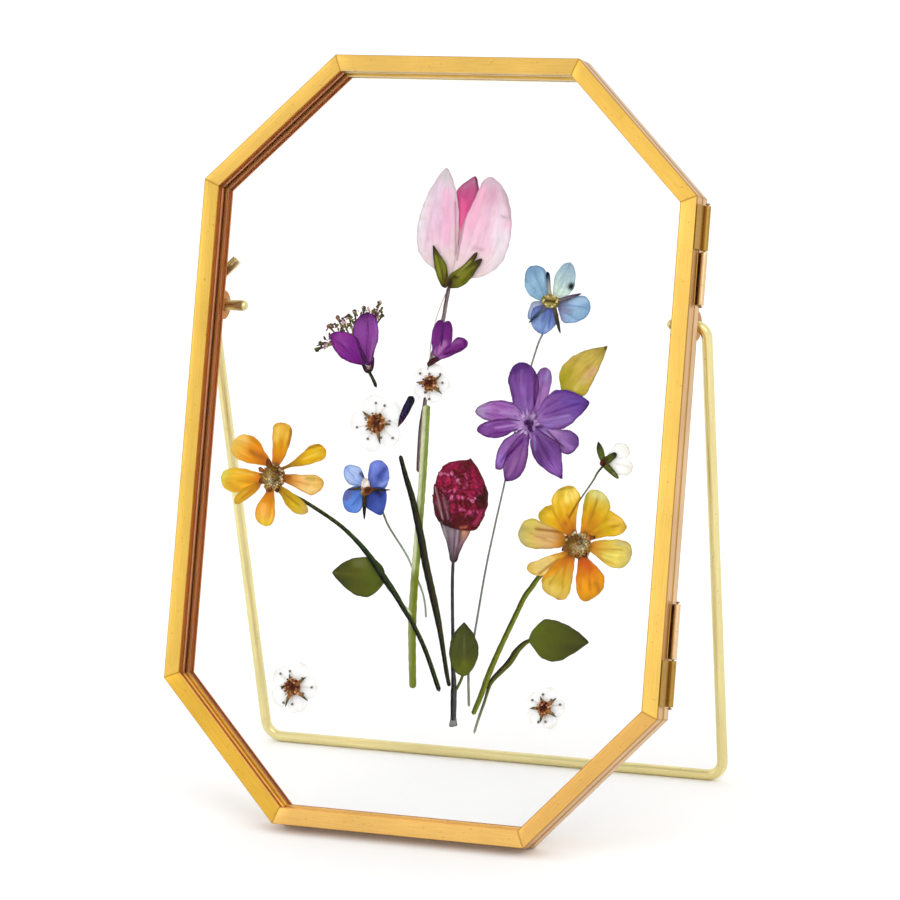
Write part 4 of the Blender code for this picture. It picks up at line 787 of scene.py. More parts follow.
def dried_plant(name, vein_spacing, contrast, browning, roughness, grain):
    """Pressed, air dried plant skin: its own dye, broken by lengthwise veins and a little browning."""
    material, tree = new_material(name)
    dye = add(tree, "ShaderNodeAttribute", {}, attribute_name="dye").outputs["Color"]
    lie = add(tree, "ShaderNodeAttribute", {}, attribute_name="lie").outputs["Vector"]
    place = add(tree, "ShaderNodeTexCoord", {}).outputs["Object"]
    lengthwise = (1 / (vein_spacing * 11), 1 / vein_spacing, 1.0)
    drawn_out = add(tree, "ShaderNodeVectorMath", {0: lie, 1: lengthwise}, operation="MULTIPLY").outputs[0]
    veins = noise(tree, drawn_out, 1.0, 3.0, 0.6)
    blotches = noise(tree, place, 1000 / BLOTCH, 3.0)
    cells = noise(tree, place, 1000 / grain, 2.0)
    veined = ranged(tree, veins, 0.3, 0.7, 1 - contrast, 1 + contrast * 0.8)
    celled = ranged(tree, cells, 0.3, 0.7, 1 - contrast * 0.35, 1 + contrast * 0.3)
    shade = add(tree, "ShaderNodeMath", {0: veined, 1: celled}, operation="MULTIPLY").outputs[0]
    toned = add(tree, "ShaderNodeVectorMath", {0: dye, "Scale": shade}, operation="SCALE").outputs[0]
    brown = ranged(tree, blotches, 0.5, 0.75, 0.0, browning)
    browned = add(tree, "ShaderNodeVectorMath", {0: toned, 1: BROWNING}, operation="MULTIPLY").outputs[0]
    mixed = blend(tree, brown, toned, browned)
    deeper = add(tree, "ShaderNodeVectorMath", {0: mixed, 1: (STRAY,) * 3}, operation="SUBTRACT").outputs[0]
    colour = add(tree, "ShaderNodeVectorMath", {0: deeper, 1: (DARKEST,) * 3}, operation="MAXIMUM").outputs[0]
    height = add(tree, "ShaderNodeMath", {0: veins, 1: cells}, operation="ADD").outputs[0]
    crinkle = relief(tree, height, 0.5, 0.06)
    dulled = ranged(tree, cells, 0.0, 1.0, roughness - 0.08, roughness + 0.08)
    opaque(tree, {"Base Color": colour, "Roughness": dulled, "Specular IOR Level": 0.1, "Normal": crinkle})
    return material


def lay(name, skins, material, node):
    """A pressed piece in its place between the panes."""
    make_piece(name, skins, material, "back_panel", [node], crease=60.0)


thin_petal = dried_plant("pressed_thin_petal", 0.45, 0.1, 0.25, 0.7, 0.25)
sepal_skin = dried_plant("dried_green_sepal", 0.35, 0.22, 0.4, 0.75, 0.3)
stem_skin = dried_plant("dried_fibrous_stem", 0.22, 0.28, 0.35, 0.75, 0.3)

petals = [
    petal(
        (1.8, 143.6), (-1.6, 171.7), (4, 8.5, 8.6, 5.9, 2.2), (1, 2.2, 2.9, 2.6, 1.2), MID - 0.08,
        "#E6D0CC #EAD2D8 #EFC8DC #EDC4DA #E2CAD6 #D4CACE", [
            (-8.6, 147, -7.2, 164, 3.3, "#EAE0E5", 0.9), (-6, 143.6, -4.6, 146.2, 2.2, "#E8DCDC", 0.85),
            (0.2, 153, -0.8, 165, 2.6, "#EEB4D0", 0.85), (-3.4, 158, -3.2, 167, 1.6, "#E8CBE0", 0.8),
            (4.2, 146, 3.2, 156, 3, "#E8D0C8", 0.7), (2.9, 149, 1.6, 163, 0.55, "#BC8A9C", 0.85),
            (-2, 171, -1, 170, 2.4, "#CFC6C9", 0.85), (-5.8, 150, -5, 160, 0.5, "#D6BCCB", 0.6),
            (-1.8, 150, -2, 158, 0.45, "#D2A8BE", 0.5),
        ], ("#B49AA4", 0.4, 0.75), grid=(60, 64),
    ),
    petal(
        (2.6, 143.9), (11.3, 169.6), (0.8, 1.5, 2.6, 2.2, 1.9), (6.5, 11, 11.3, 8.8, 4.6), MID + 0.1,
        "#E8D4D0 #EED2DA #F1C6D8 #EFC2D6 #E4BCCE #D2B8C4", [
            (6.2, 157, 8.6, 166, 2.6, "#F4B2CB", 0.85), (12, 166, 11.4, 163.4, 2.2, "#DCA4BE", 0.8),
            (13.6, 154, 14.6, 160.5, 3.6, "#F2DAE7", 0.85), (14.8, 146, 16, 154, 3.9, "#E9DFE4", 0.92),
            (8.8, 141.6, 13.4, 143.8, 2.6, "#E9E0E0", 0.88), (15, 159.5, 17.2, 159.3, 0.7, "#C8ACB8", 0.85),
            (7.8, 151.2, 10.4, 150.8, 0.8, "#CCA6B2", 0.75), (5.1, 153, 6, 163, 0.55, "#FCC4D8", 0.85),
            (3.4, 148, 4.6, 158, 0.45, "#B88498", 0.8), (14.8, 166, 17.8, 159, 1.1, "#BCA8AE", 0.7),
            (10.4, 153, 11.2, 163, 0.45, "#DDB0C6", 0.6), (8.6, 147, 13, 148.6, 1.6, "#EBD6D4", 0.6),
        ], ("#B49AA4", 0.45, 0.75), grid=(60, 64),
    ),
]
lay("pink_outer_pair", petals, thin_petal, "pink_petals")
inner = petal(
    (3, 150), (6.4, 169.8), (0.2, 1, 2.1, 4.2, 1.6), (0.5, 0.5, 0.8, 2.1, 1.1), BACK + 0.15,
    "#B8487A #C84A80 #D8588E #CE5088 #C05C88 #A46484", [
        (3.3, 157, 3.6, 163, 1.4, "#E8689A", 0.9), (2.9, 149, 3.2, 155.4, 1.5, "#E8A4BA", 0.92),
        (6.8, 160, 7.6, 166, 1.1, "#A23462", 0.85), (3.6, 166.8, 6.6, 168.8, 0.8, "#B87898", 0.8),
        (7.9, 166, 6.4, 169.6, 0.5, "#6A3450", 0.9),
    ], ("#6A3850", 0.3, 0.75),
)
lay("pink_inner_fold", [inner], thin_petal, "pink_inner_petal")
calyx_touches = [
    (0.6, 141, 1.4, 146, 0.6, "#4A2A10", 0.85), (2.5, 142.6, 2.3, 141.6, 1, "#321614", 0.95),
    (3, 143.4, 4.2, 143.6, 0.8, "#3A1C1A", 0.88), (0.2, 142.6, -0.4, 144.8, 0.5, "#523214", 0.8),
    (5.4, 142, 7, 143.4, 0.4, "#3C3812", 0.7), (7.6, 144.2, 8.6, 145.6, 0.4, "#3E3E12", 0.75),
    (-2.6, 146.2, -3, 149, 0.35, "#3E3E14", 0.7), (4.2, 144, 7.4, 147.6, 0.5, "#A4A050", 0.75),
    (5.4, 143.6, 8.6, 146.4, 0.4, "#8E8E3C", 0.7), (-0.6, 143.6, -2.4, 148.6, 0.45, "#90923E", 0.75),
    (9, 149.8, 9.4, 150.2, 1, "#4A2410", 0.9), (10.5, 148.2, 10.8, 148.6, 1, "#4A2410", 0.9),
]
calyx = [
    petal(*place, "#3E2E14 #66681E #74762A #6A6C20 #54501C #3E2610", calyx_touches, ("#34351A", 0.35, 0.85))
    for place in (
        ((1.2, 140.6), (-3.4, 151.5), (1, 1.4, 1.4, 0.9, 0.3), (1, 1.5, 1.9, 1, 0.4), NEAR - 0.1),
        ((1.6, 141.2), (9.2, 150), (1, 1.5, 0.7, 0.5, 0.5), (1, 2.2, 2, 1.2, 0.5), NEAR),
        ((1.8, 140.6), (10.7, 148.4), (1, 1.5, 1.2, 1, 0.6), (0.8, 2.1, 2.2, 1.3, 0.6), NEAR + 0.12),
    )
]
lay("pink_bloom_calyx", calyx, sepal_skin, "pink_calyx")
route = [(1.4, 141), (0.9, 136.5), (0.5, 132.5), (-0.9, 126), (-2.1, 121.5), (-2.7, 111.5), (-3.4, 104), (-3.1, 92.8)]
fibre = [(0.8, 139.5), (-0.4, 136), (-1.5, 132), (-2.3, 126), (-2.2, 122)]
stems = [
    # painted shade: this stem's half towards the light is lighter, the other darker
    stalk(route, 1.1, BACK, "#6A5458 #84706F #8A7A76 #6E5E60 #54464A", sides=("#9A8C88", "#4E3E42", 0.5)),
    stalk(fibre, 0.28, BACK + 0.2, "#B8A89C #D0C6BC #C4BAB0", thick=0.15),
]
lay("pink_bloom_stem", stems, stem_skin, "pink_stem")

# ---------------- the thick green stem
# A hollow stem pressed flat and split along its length, so that its pale pith shows on the left,
# with one dry bract low on it.

route = [(-1.9, 110.4), (-1.5, 95), (-1.4, 80), (-1.4, 65), (-1.2, 56), (-0.7, 49), (0.5, 37.6)]
split = stalk(
    route, (2.1, 2.2, 2.2, 2.2, 2.3, 2.2, 1.9), MID, "#9AA66A #A2AE6E #8E9A54 #7C8838 #76802E",
    sides=("#7A8A38", "#DADDB8", 0.72), touches=[(-1.2, 66, 0.4, 38, 3, "#727C2C", 0.95)],
)
bract = petal(
    (-1.2, 56.2), (-3.9, 58.9), (0.2, 0.3, 0.4, 0.3, 0.15), None, MID + 0.3, "#A8AC70 #D2D4AC #B8AC80", grid=(12, 12),
)
lay("split_green_stem", [split, bract], stem_skin, "green_stem")

# ---------------- the small purple bloom
# Three violet petals, folded along their middles when they were pressed, out of a dark calyx.

satin_petal = dried_plant("pressed_satin_petal", 0.38, 0.2, 0.2, 0.62, 0.3)
slits = [
    (0.6, 124, 2.2, 126, 1.6, "#B878B8", 0.8), (1.5, 125.6, 1.6, 130.4, 0.4, "#3E0850", 0.9),
    (6.6, 128.8, 9, 126.6, 0.9, "#5A2060", 0.7), (4.6, 126.4, 6.6, 127, 1.2, "#945498", 0.7),
    (2.6, 123.5, 7.4, 124.9, 0.5, "#401838", 0.85), (-1.2, 127, -1, 131, 0.7, "#8E4896", 0.6),
]
petals = [
    petal(*place, "#9A5CA0 #7A3684 #74307C #6E2C78 #5E2468", slits, ("#431A4A", 0.38, 0.85))
    for place in (
        ((0, 122.6), (0.8, 132.3), (0.7, 1.3, 1.9, 1.8, 1.1), (0.8, 1.4, 1.6, 1.4, 0.9), TOP - 0.15),
        ((0.8, 122.5), (2.9, 132.1), (0.7, 1, 1, 1, 0.9), (0.8, 1.4, 2.5, 2, 1.2), TOP),
        ((1, 122.3), (8.8, 126.9), (0.7, 1.2, 1.8, 2.4, 1.5), (0.6, 1, 1.2, 1.3, 1), TOP + 0.15),
    )
]
lay("small_purple_three", petals, satin_petal, "small_purple_petals")
cup = petal(
    (-2.3, 120.4), (2, 123.2), (0.6, 0.9, 0.9, 0.7, 0.4), (0.5, 0.6, 0.6, 0.6, 0.4), NEAR,
    "#4A3A2A #4A2A30 #52303E #3A1A2A", rim=("#241218", 0.3, 0.8),
)
lay("small_purple_cup", [cup], sepal_skin, "small_purple_calyx")

# ---------------- the bell with its fringe of stamens
# Two overlapping petals of a bell flower on a short dark stalk. Its stamens spread above the rim,
# each a hair ending in a dry bead.

petals = [
    petal(
        (-19, 119.5), (-20.5, 133.3), (1.2, 2.8, 3.9, 3.9, 2.3), (1.2, 1.9, 3.1, 3.1, 2.4), NEAR - 0.1,
        "#5A2A60 #7A3A82 #844290 #8A4896 #5E2A68", [
            (-17.4, 124, -17, 130, 1.4, "#9A5CA6", 0.7), (-19.6, 122, -20, 131, 0.4, "#5A2262", 0.7),
            (-18.4, 121, -18.2, 127, 0.4, "#A468AC", 0.6),
        ], ("#431648", 0.4, 0.85),
    ),
    petal(
        (-19.6, 119.9), (-30.2, 127.3), (0.9, 2.1, 2.9, 2.4, 1.2), (1.4, 2.4, 3.7, 3.2, 1.5), NEAR + 0.1,
        "#4A1A50 #74287F #7A2E86 #8A3A8E #6E2A76", [
            (-22.6, 126.2, -20.2, 121, 0.5, "#360F3C", 0.9), (-25, 124, -28, 127, 1.1, "#9446A0", 0.7),
            (-23, 128, -26, 129.4, 0.8, "#8E4898", 0.6), (-23, 122.6, -28, 125.4, 0.4, "#561A60", 0.7),
        ], ("#431648", 0.4, 0.85),
    ),
]
lay("bell_petal_pair", petals, satin_petal, "bell_petals")
bead_ends = [
    (-35, 123, "#46443A"), (-34.2, 124.8, "#5E5640"), (-32, 129.8, "#8A6450"), (-29.6, 132.4, "#8A6A54"),
    (-27.8, 131.4, "#4E5030"), (-26.3, 132.9, "#46462C"), (-24.8, 134.2, "#464630"), (-22, 135.2, "#4E4C3A"),
    (-19, 134.4, "#7A6048"), (-17.5, 136.8, "#D8B4B4"), (-16.4, 133.3, "#4A4C2E"),
]
rim_start, rim_end = np.array((-30.0, 124.8)), np.array((-18.2, 129.6))
hair, knob = (0.3, 0.24, 0.2, 0.24, 0.6), (0.3, 0.26, 0.22, 0.3, 0.64)
stamens = [stalk([rim_start, (-24.4, 127.4), rim_end], (0.6, 1.5, 0.6), BACK, "#5A4A30 #6A6038 #5A4A34")]
for index, (x, h, colour) in enumerate(bead_ends):
    root = rim_start + (rim_end - rim_start) * (index + 0.5) / len(bead_ends)
    dyes = f"#7A6A50 #9A9268 #8A8458 #5A5634 {colour} {colour}"
    stamens.append(petal(root, (x, h), hair, knob, BACK + 0.1 * (index % 3), dyes, thick=0.3, grid=(26, 12)))
anther_shades = "#6A6440 #4A4A2C #A8847C #7E7050 #5A4450 #C8A8A6 #6A6238 #5A3E3A".split()
for k in range(110):  # split and shrivelled anthers crowd the fringe
    place = 10 * (k * 0.618034 % 1)
    index, share = int(place), place - int(place)
    end = np.array(bead_ends[index][:2]) * (1 - share) + np.array(bead_ends[index + 1][:2]) * share
    root = rim_start + (rim_end - rim_start) * (place + 0.5) / 11
    strayed = 0.3 * np.array((sin(4.1 * k), cos(2.7 * k)))
    spot = end + (root - end) * (0.05 + 0.6 * (k * 0.7548777 % 1)) + strayed
    size = 0.44 + 0.2 * sin(1.7 * k)
    half = np.array((cos(3.3 * k), sin(3.3 * k))) * size
    left, right = (size * 0.5,) * 5, tuple(size * share for share in (0.4, 0.7, 0.5, 0.7, 0.4))
    shade = anther_shades[k % 8]
    front = BACK + 0.2 + 0.04 * (k % 5)
    stamens.append(petal(spot - half, spot + half, left, right, front, f"{shade} {shade}", ragged=0.3, grid=(9, 9)))
lay("bell_stamens_fringe", stamens, sepal_skin, "bell_stamens")
neck = [(-19, 119.3, -18.9, 119.6, 0.9, "#B89088", 0.85)]
neck_dyes = "#2A2C22 #3A2A36 #3A1A40"
stalks = [
    stalk(
        [(-19.8, 119.6), (-18.6, 117.8), (-17.4, 116), (-16.3, 114)], (1.2, 0.9, 0.9, 1), MID,
        "#2A2026 #2E3428 #363C2C #2A2E22",
    ),
    petal(
        (-18.6, 117.7), (-20.9, 120), (0.3, 0.7, 0.7, 0.5, 0.3), (0.3, 0.6, 0.6, 0.5, 0.3), MID + 0.1, neck_dyes,
        neck, grid=(16, 16),
    ),
    petal((-18.5, 117.7), (-17.8, 122), (0.3, 0.7, 0.7, 0.5, 0.3), None, MID + 0.16, neck_dyes, neck, grid=(16, 16)),
]
lay("bell_stalk", stalks, stem_skin, "bell_stem")

# ---------------- four small white blossoms
# Five thin white petals, gone nearly clear, behind a brown star of dry sepals; grey anthers lie on
# their hairs between the petals.


def disc(x, h, radius, front, dyes, touches=(), rim=None, grid=(14, 20), thick=0.3):
    """A pressed petal of round outline: its half widths are radius * sin(pi t)."""
    half = tuple(radius * sin(pi * k / 6) for k in range(1, 6))
    return petal((x - radius, h), (x + radius, h), half, None, front, dyes, touches, rim, thick=thick, grid=grid)


GOLDEN_ANGLE = 2.39996
white_petal = dried_plant("pressed_white_petal", 0.5, 0.05, 0.12, 0.7, 0.25)
dry_centre = dried_plant("withered_brown_centre", 0.3, 0.3, 0.5, 0.8, 0.3)
BLOSSOMS = {
    "white_small": (-1.1, 115.9, 5.2, 1.9, 36, (3.4, 2.2, 4, 2.8, 4.3)),
    "white_left": (-15.3, 104.8, 7.6, 2.5, 0, (4.4, 3, 5.2, 3.2, 5.5)),
    "white_low_left": (-33, 35.4, 6.8, 2.2, 38, (4.6, 3.4, 3.4, 5.4, 5.9)),
    "white_low_right": (37.2, 35.5, 5.4, 1.7, 42, (4.2, 3, 3.9, 3.6, 4.1)),
}
crumbs = "#B07848 #6A2C10 #D8A880 #8A4A22 #C89060 #4A1606 #A06A3C".split()
for name, (x, h, radius, boss, turn, arms) in BLOSSOMS.items():
    half = tuple(radius * share for share in (0.12, 0.3, 0.42, 0.4, 0.24))
    rays = np.radians(turn + 36 + 72 * np.arange(5))
    petals = []
    for k, ray in enumerate(rays):
        tip = (x + radius * cos(ray), h + radius * sin(ray))
        dyes, rim = "#D0C2AC #F6F3EC #FFFFFF #FFFFFF #F6F2EC", ("#E2DCD4", 0.34, 0.5)
        petals.append(petal((x, h), tip, half, None, MID + 0.06 * (k % 3 - 1), dyes, rim=rim, ragged=0.14))
    lay(f"{name}_five", petals, white_petal, f"{name}_petals")
    boss_touch = (x, h, x + 0.3, h, boss * 0.7, "#4A2206", 0.95)
    middle = [disc(x, h, boss, NEAR, "#8A5024 #7A4018 #945A2A", [boss_touch], ("#B07034", 0.3, 0.6))]
    half = tuple(0.6 * share for share in (0.9, 1, 0.8, 0.5, 0.2))
    look = (
        "#5A2E14 #8A5430 #A8764C #8A6A44 #5A5638 #3A3E28", [(x, h, x, h, 1.3, "#4A2008", 0.8)],
        ("#5A4028", 0.22, 0.6),
    )
    for k, ray in enumerate(rays - radians(36)):
        tip, front = (x + arms[k] * cos(ray), h + arms[k] * sin(ray)), NEAR + 0.1 + 0.05 * k
        middle.append(petal((x, h), tip, half, None, front, *look, ragged=0.22, thick=0.26, grid=(22, 16)))
    for k in range(40):  # crumbs of dry pollen and filament
        way, out = GOLDEN_ANGLE * k + x, boss * 1.15 * sqrt((k + 0.5) / 40)
        crumb = crumbs[k % 7] if k > 7 else "#4A1408"
        place = (x + out * cos(way), h + out * sin(way), 0.24 + 0.1 * sin(2.1 * k))
        middle.append(disc(*place, NEAR + 0.42, f"{crumb} {crumb}", thick=0.24, grid=(7, 8)))
    for k in range(8):  # anthers on their hairs
        way = radians(turn + 17 + 45 * k + 9 * sin(3.7 * k + x))
        out = radius * (0.62 + 0.16 * sin(2.3 * k + h))
        end = (x + out * cos(way), h + out * sin(way))
        halfway = (x + (end[0] - x) * 0.5, h + (end[1] - h) * 0.5 + 0.1)
        middle.append(stalk([(x, h), halfway, end], 0.12, MID + 0.32, "#C8B498 #E4DCCC #D8D0C4", thick=0.1))
        middle.append(disc(*end, 0.34, MID + 0.36, "#8A847C #77706A #8E867C", thick=0.24, grid=(8, 10)))
    lay(f"{name}_star", middle, dry_centre, f"{name}_centre")

# ---------------- the dark purple bud
# A closed bud, pressed nearly black, brown where it was picked from its stalk.

bud = petal(
    (-8.8, 104.2), (-5.4, 112.3), (0.3, 0.8, 1.1, 1.1, 1), (0.3, 0.8, 1.1, 1.2, 1), TOP,
    "#5A3820 #38203A #2A1440 #1E0E34 #160A28",
    [(-7.8, 107, -6.4, 111, 0.35, "#4A2C62", 0.7), (-6.6, 106.4, -5.6, 110, 0.3, "#120720", 0.8)],
    ("#0E0618", 0.3, 0.7),
)
lay("dark_bud", [bud], satin_petal, "purple_bud")

# ---------------- the left yellow bloom, its stem and leaf
# Eight orange to lemon petals round a withered centre. Its long dark stem runs behind the others to
# the foot of the bunch, and carries one leaf with clear side veins.

waxy_petal = dried_plant("pressed_waxy_petal", 0.5, 0.16, 0.35, 0.6, 0.3)
gold_rim = ("#A8721A", 0.34, 0.7)
petals = [
    petal(
        (-44.5, 89.2), (-58.6, 88.3), (1.2, 2.3, 3.6, 3.8, 2.6), (1, 1.4, 2.3, 2.6, 1.8), NEAR - 0.2,
        "#B85A18 #DE7C2C #E8A02A #ECB030 #E8BE3C #E0D050", [
            (-53.5, 85.6, -56.4, 86.8, 1.8, "#D89A2C", 0.75), (-49, 89.6, -54, 90, 0.5, "#F2CC60", 0.6),
            (-48, 87.8, -54, 87.6, 0.4, "#C07818", 0.6), (-56.8, 90.6, -58, 88.6, 0.9, "#E6DC6A", 0.7),
        ], ("#B89A30", 0.36, 0.65),
    ),
    petal(
        (-47, 87.6), (-53.9, 81.9), (0.8, 1.2, 1.3, 1.1, 0.8), (0.8, 1.2, 1.6, 1.6, 1), NEAR - 0.14,
        "#A8601C #CC8A20 #DBA030 #D8A830 #C89A38", [(-49, 85.8, -52, 83.4, 0.4, "#B07010", 0.7)], gold_rim,
    ),
    petal(
        (-44.5, 92), (-56.2, 97.6), (0.4, 1.2, 2.4, 2.8, 1.9), (1.5, 2.6, 4.3, 4.2, 2.6), NEAR - 0.08,
        "#A86008 #CC7010 #E08A1C #E69830 #ECB448 #E6C060", [
            (-47, 94.4, -50.4, 95.6, 1.3, "#AC6004", 0.85), (-52.4, 98.6, -54, 99.4, 1.9, "#F5C468", 0.9),
            (-48, 97.6, -51, 99.4, 0.8, "#D88418", 0.7), (-50, 94.4, -54.6, 95.6, 0.5, "#F0AE44", 0.6),
        ], ("#C8A04C", 0.4, 0.6),
    ),
    petal(
        (-42.7, 91.5), (-41.8, 103.7), (1.2, 1.7, 2.1, 2.6, 2.4), (0.6, 1.8, 2.6, 3, 2.4), NEAR - 0.02,
        "#9A5010 #D08018 #DE9A22 #E0A830 #E8B444 #DCA440", [
            (-43.4, 99, -43.2, 102, 1.5, "#F6CA5C", 0.9), (-41.6, 95, -42, 99, 1, "#DE8A16", 0.8),
            (-39.6, 97.6, -39.4, 102, 0.7, "#8C4E14", 0.8), (-43.4, 94, -43.6, 98.6, 0.35, "#B86C10", 0.6),
        ], gold_rim,
    ),
    petal(
        (-42, 91.2), (-28.8, 96.9), (0.4, 0.6, 1.7, 3, 2.2), (0.4, 0.5, 1.4, 1.8, 1.6), NEAR + 0.04,
        "#6A4A08 #94700A #C49414 #E0AE24 #E8BA30 #D8A428", [
            (-36.6, 96.4, -30.2, 98.6, 0.6, "#84521A", 0.75), (-35, 94.6, -30.6, 96.4, 0.45, "#F4D058", 0.7),
            (-33, 94, -30, 95.2, 0.5, "#C88A14", 0.6),
        ], gold_rim,
    ),
    petal(
        (-41.5, 89.2), (-28.7, 88.4), (0.9, 1.4, 1.6, 2, 1.3), (0.8, 1.4, 2.5, 3.4, 2), NEAR + 0.1,
        "#90480E #B8702C #EAAC5C #F8C878 #F0C068 #D8A848", [
            (-33.6, 89.6, -31.8, 89.4, 1.2, "#C2A24A", 0.8), (-38, 88.8, -33, 88, 0.4, "#C87C34", 0.7),
            (-34, 86.6, -31, 86.6, 1, "#F6D48C", 0.7), (-40.2, 89.6, -38.6, 89.6, 0.8, "#9A5414", 0.8),
        ], ("#9A6A2C", 0.34, 0.7),
    ),
    petal(
        (-42.8, 87.3), (-32.6, 80.8), (0.8, 1.2, 1.5, 1.5, 1), (0.8, 1, 2.2, 2.4, 1.4), NEAR + 0.15,
        "#7A4C0C #A87C12 #C49A16 #CEA61C #D0AE3C #CCA860",
        [(-39.6, 85, -35, 82.4, 0.4, "#8E6A0C", 0.75), (-37.4, 82.6, -34.4, 81, 0.7, "#E0BC3C", 0.7)],
        ("#A88A4C", 0.36, 0.75),
    ),
    petal(
        (-43.7, 87.6), (-44.2, 76.4), (0.9, 1.3, 1.8, 2.2, 1.5), (0.9, 1.4, 3.1, 3.6, 2.3), NEAR + 0.2,
        "#8A440C #C8760C #DC8E1C #F0A43C #F4B848 #E4C038", [
            (-43.4, 85, -43.6, 83, 1.1, "#CC7A08", 0.8), (-45.4, 81.6, -45, 79.6, 1.4, "#FAB858", 0.9),
            (-43.2, 83, -43.4, 78.4, 0.35, "#C87E14", 0.7), (-41.8, 82, -42.2, 79, 0.7, "#E8A838", 0.6),
        ], gold_rim,
    ),
    disc(-43.3, 89.4, 3.3, NEAR - 0.26, "#A8661C #B8701C #A8601C"),
]
lay("yellow_left_eight", petals, waxy_petal, "yellow_left_petals")


def withered_heart(x, h, radius, lumps, dyes, seed, grains):
    """Dry boss with shrivelled lumps, and small grains scattered at even angles over it."""
    # painted highlight: a pale patch across the middle of the boss
    boss_touch = (x - 0.4, h - 0.5, x + 0.6, h + 0.2, 1.3, "#A8926A", 0.7)
    skins = [disc(x, h, radius * 0.96, TOP - 0.2, dyes, [boss_touch], ("#5A3410", 0.5, 0.8), grid=(20, 26))]
    for lump_x, lump_h, size, colour in lumps:
        away = np.array((lump_x - x, lump_h - h))
        away = away / np.linalg.norm(away)
        base = np.array((lump_x, lump_h)) - away * size * 1.5
        tip = np.array((lump_x, lump_h)) + away * size * 1.1
        half = tuple(size * share for share in (0.5, 0.85, 1, 0.9, 0.55))
        look = (f"{colour} {colour} #3A1E0A", [(*base, *tip, size * 0.35, "#9A7040", 0.35)], ("#241004", 0.22, 0.7))
        skins.append(petal(base, tip, half, None, TOP - 0.02, *look, ragged=0.22, thick=0.3, grid=(16, 16)))
    turn = seed + GOLDEN_ANGLE * np.arange(grains)
    out = radius * 1.08 * np.sqrt((np.arange(grains) + 0.5) / grains)
    palette = "#8A6228 #C4A468 #6A4A22 #A07C40 #D8C49A #7A5A2A #B4924E #A8A078".split()
    half = (0.16, 0.2, 0.24, 0.2, 0.14)
    for k, (angle_out, far) in enumerate(zip(turn, out)):
        size, colour = 0.26 + 0.12 * sin(k * 1.9 + seed), palette[k % 8]
        if k % 3 == 0:  # a dry filament, out over the petals
            way = np.array((cos(angle_out), sin(angle_out)))
            base, tip = way * 1.2 + (x, h), way * (2.6 + 1.5 * abs(sin(2.7 * k))) + (x, h)
            streak = f"{palette[(k + 1) % 8]} #8A5A24 #A87234"
            skins.append(petal(base, tip, half, None, TOP - 0.1, streak, ragged=0.3, thick=0.22, grid=(14, 8)))
        place = (x + far * cos(angle_out), h + far * sin(angle_out))
        skins.append(disc(*place, size, TOP + 0.12, f"{colour} {colour}", thick=0.34, grid=(7, 8)))
    return skins


lumps = [
    (-44.7, 92.9, 0.8, "#7A3A14"), (-42.3, 91.4, 0.75, "#4A2C20"), (-46.1, 88.1, 0.8, "#7A4A18"),
    (-41.7, 86.3, 0.75, "#6A3A10"), (-44, 86.1, 0.7, "#8A4618"), (-46.8, 91, 0.65, "#A05A38"),
    (-40.9, 90.2, 0.6, "#7A4A20"), (-42, 87.2, 0.6, "#5A3412"),
]
heart = withered_heart(-43.4, 89.2, 3.1, lumps, "#8A7040 #A8946A #A8905C #8A7040", 0.4, 80)
lay("yellow_left_heart", heart, dry_centre, "yellow_left_centre")
route = [(-38.5, 85.3), (-33.2, 83.1), (-24, 78.3), (-18, 73.9), (-14.3, 70.4), (-9.7, 65.1), (-6, 60.9)]
route += [(-3.2, 57.2), (-0.4, 53.7), (3.6, 47.2), (8.3, 37.3)]
long_stem = stalk(
    route, (0.9, 1, 1.15, 1.5, 1.85, 1.5, 1.2, 1.25, 1.3), MID, "#5A4A20 #34401E #2A321C #2C301E #282C20", NEAR,
    # painted shade: this stem's half towards the light is lighter, the other darker
    ("#46502C", "#181E12", 0.5),
)
lay("yellow_left_long_stem", [long_stem], stem_skin, "yellow_left_stem")
leaf_skin = dried_plant("pressed_green_leaf", 0.4, 0.16, 0.35, 0.62, 0.3)
leaf = petal(
    (-9.9, 64.9), (-25, 65.7), (2.3, 4.9, 5, 3.2, 1.1), (3, 4.8, 4.9, 3.6, 1.3), BACK + 0.05,
    "#525408 #545C08 #545810 #525414 #4C4E14 #3E4010", [
        (-16.4, 68.6, -18.4, 68.8, 2.1, "#787E50", 0.6), (-12.6, 63.4, -14.6, 66.4, 2.6, "#586208", 0.6),
        (-20, 62.6, -22, 64, 1.6, "#3E4A10", 0.6),
    ], ("#262E0C", 0.34, 0.85), (1.7, 0.62, "#767C42", 0.5), grid=(84, 84),
)
lay("yellow_left_veined_leaf", [leaf], leaf_skin, "yellow_left_leaf")

# ---------------- the blue bloom
# Four small blue petals, each dyed differently as it dried, about a cream and tan centre.

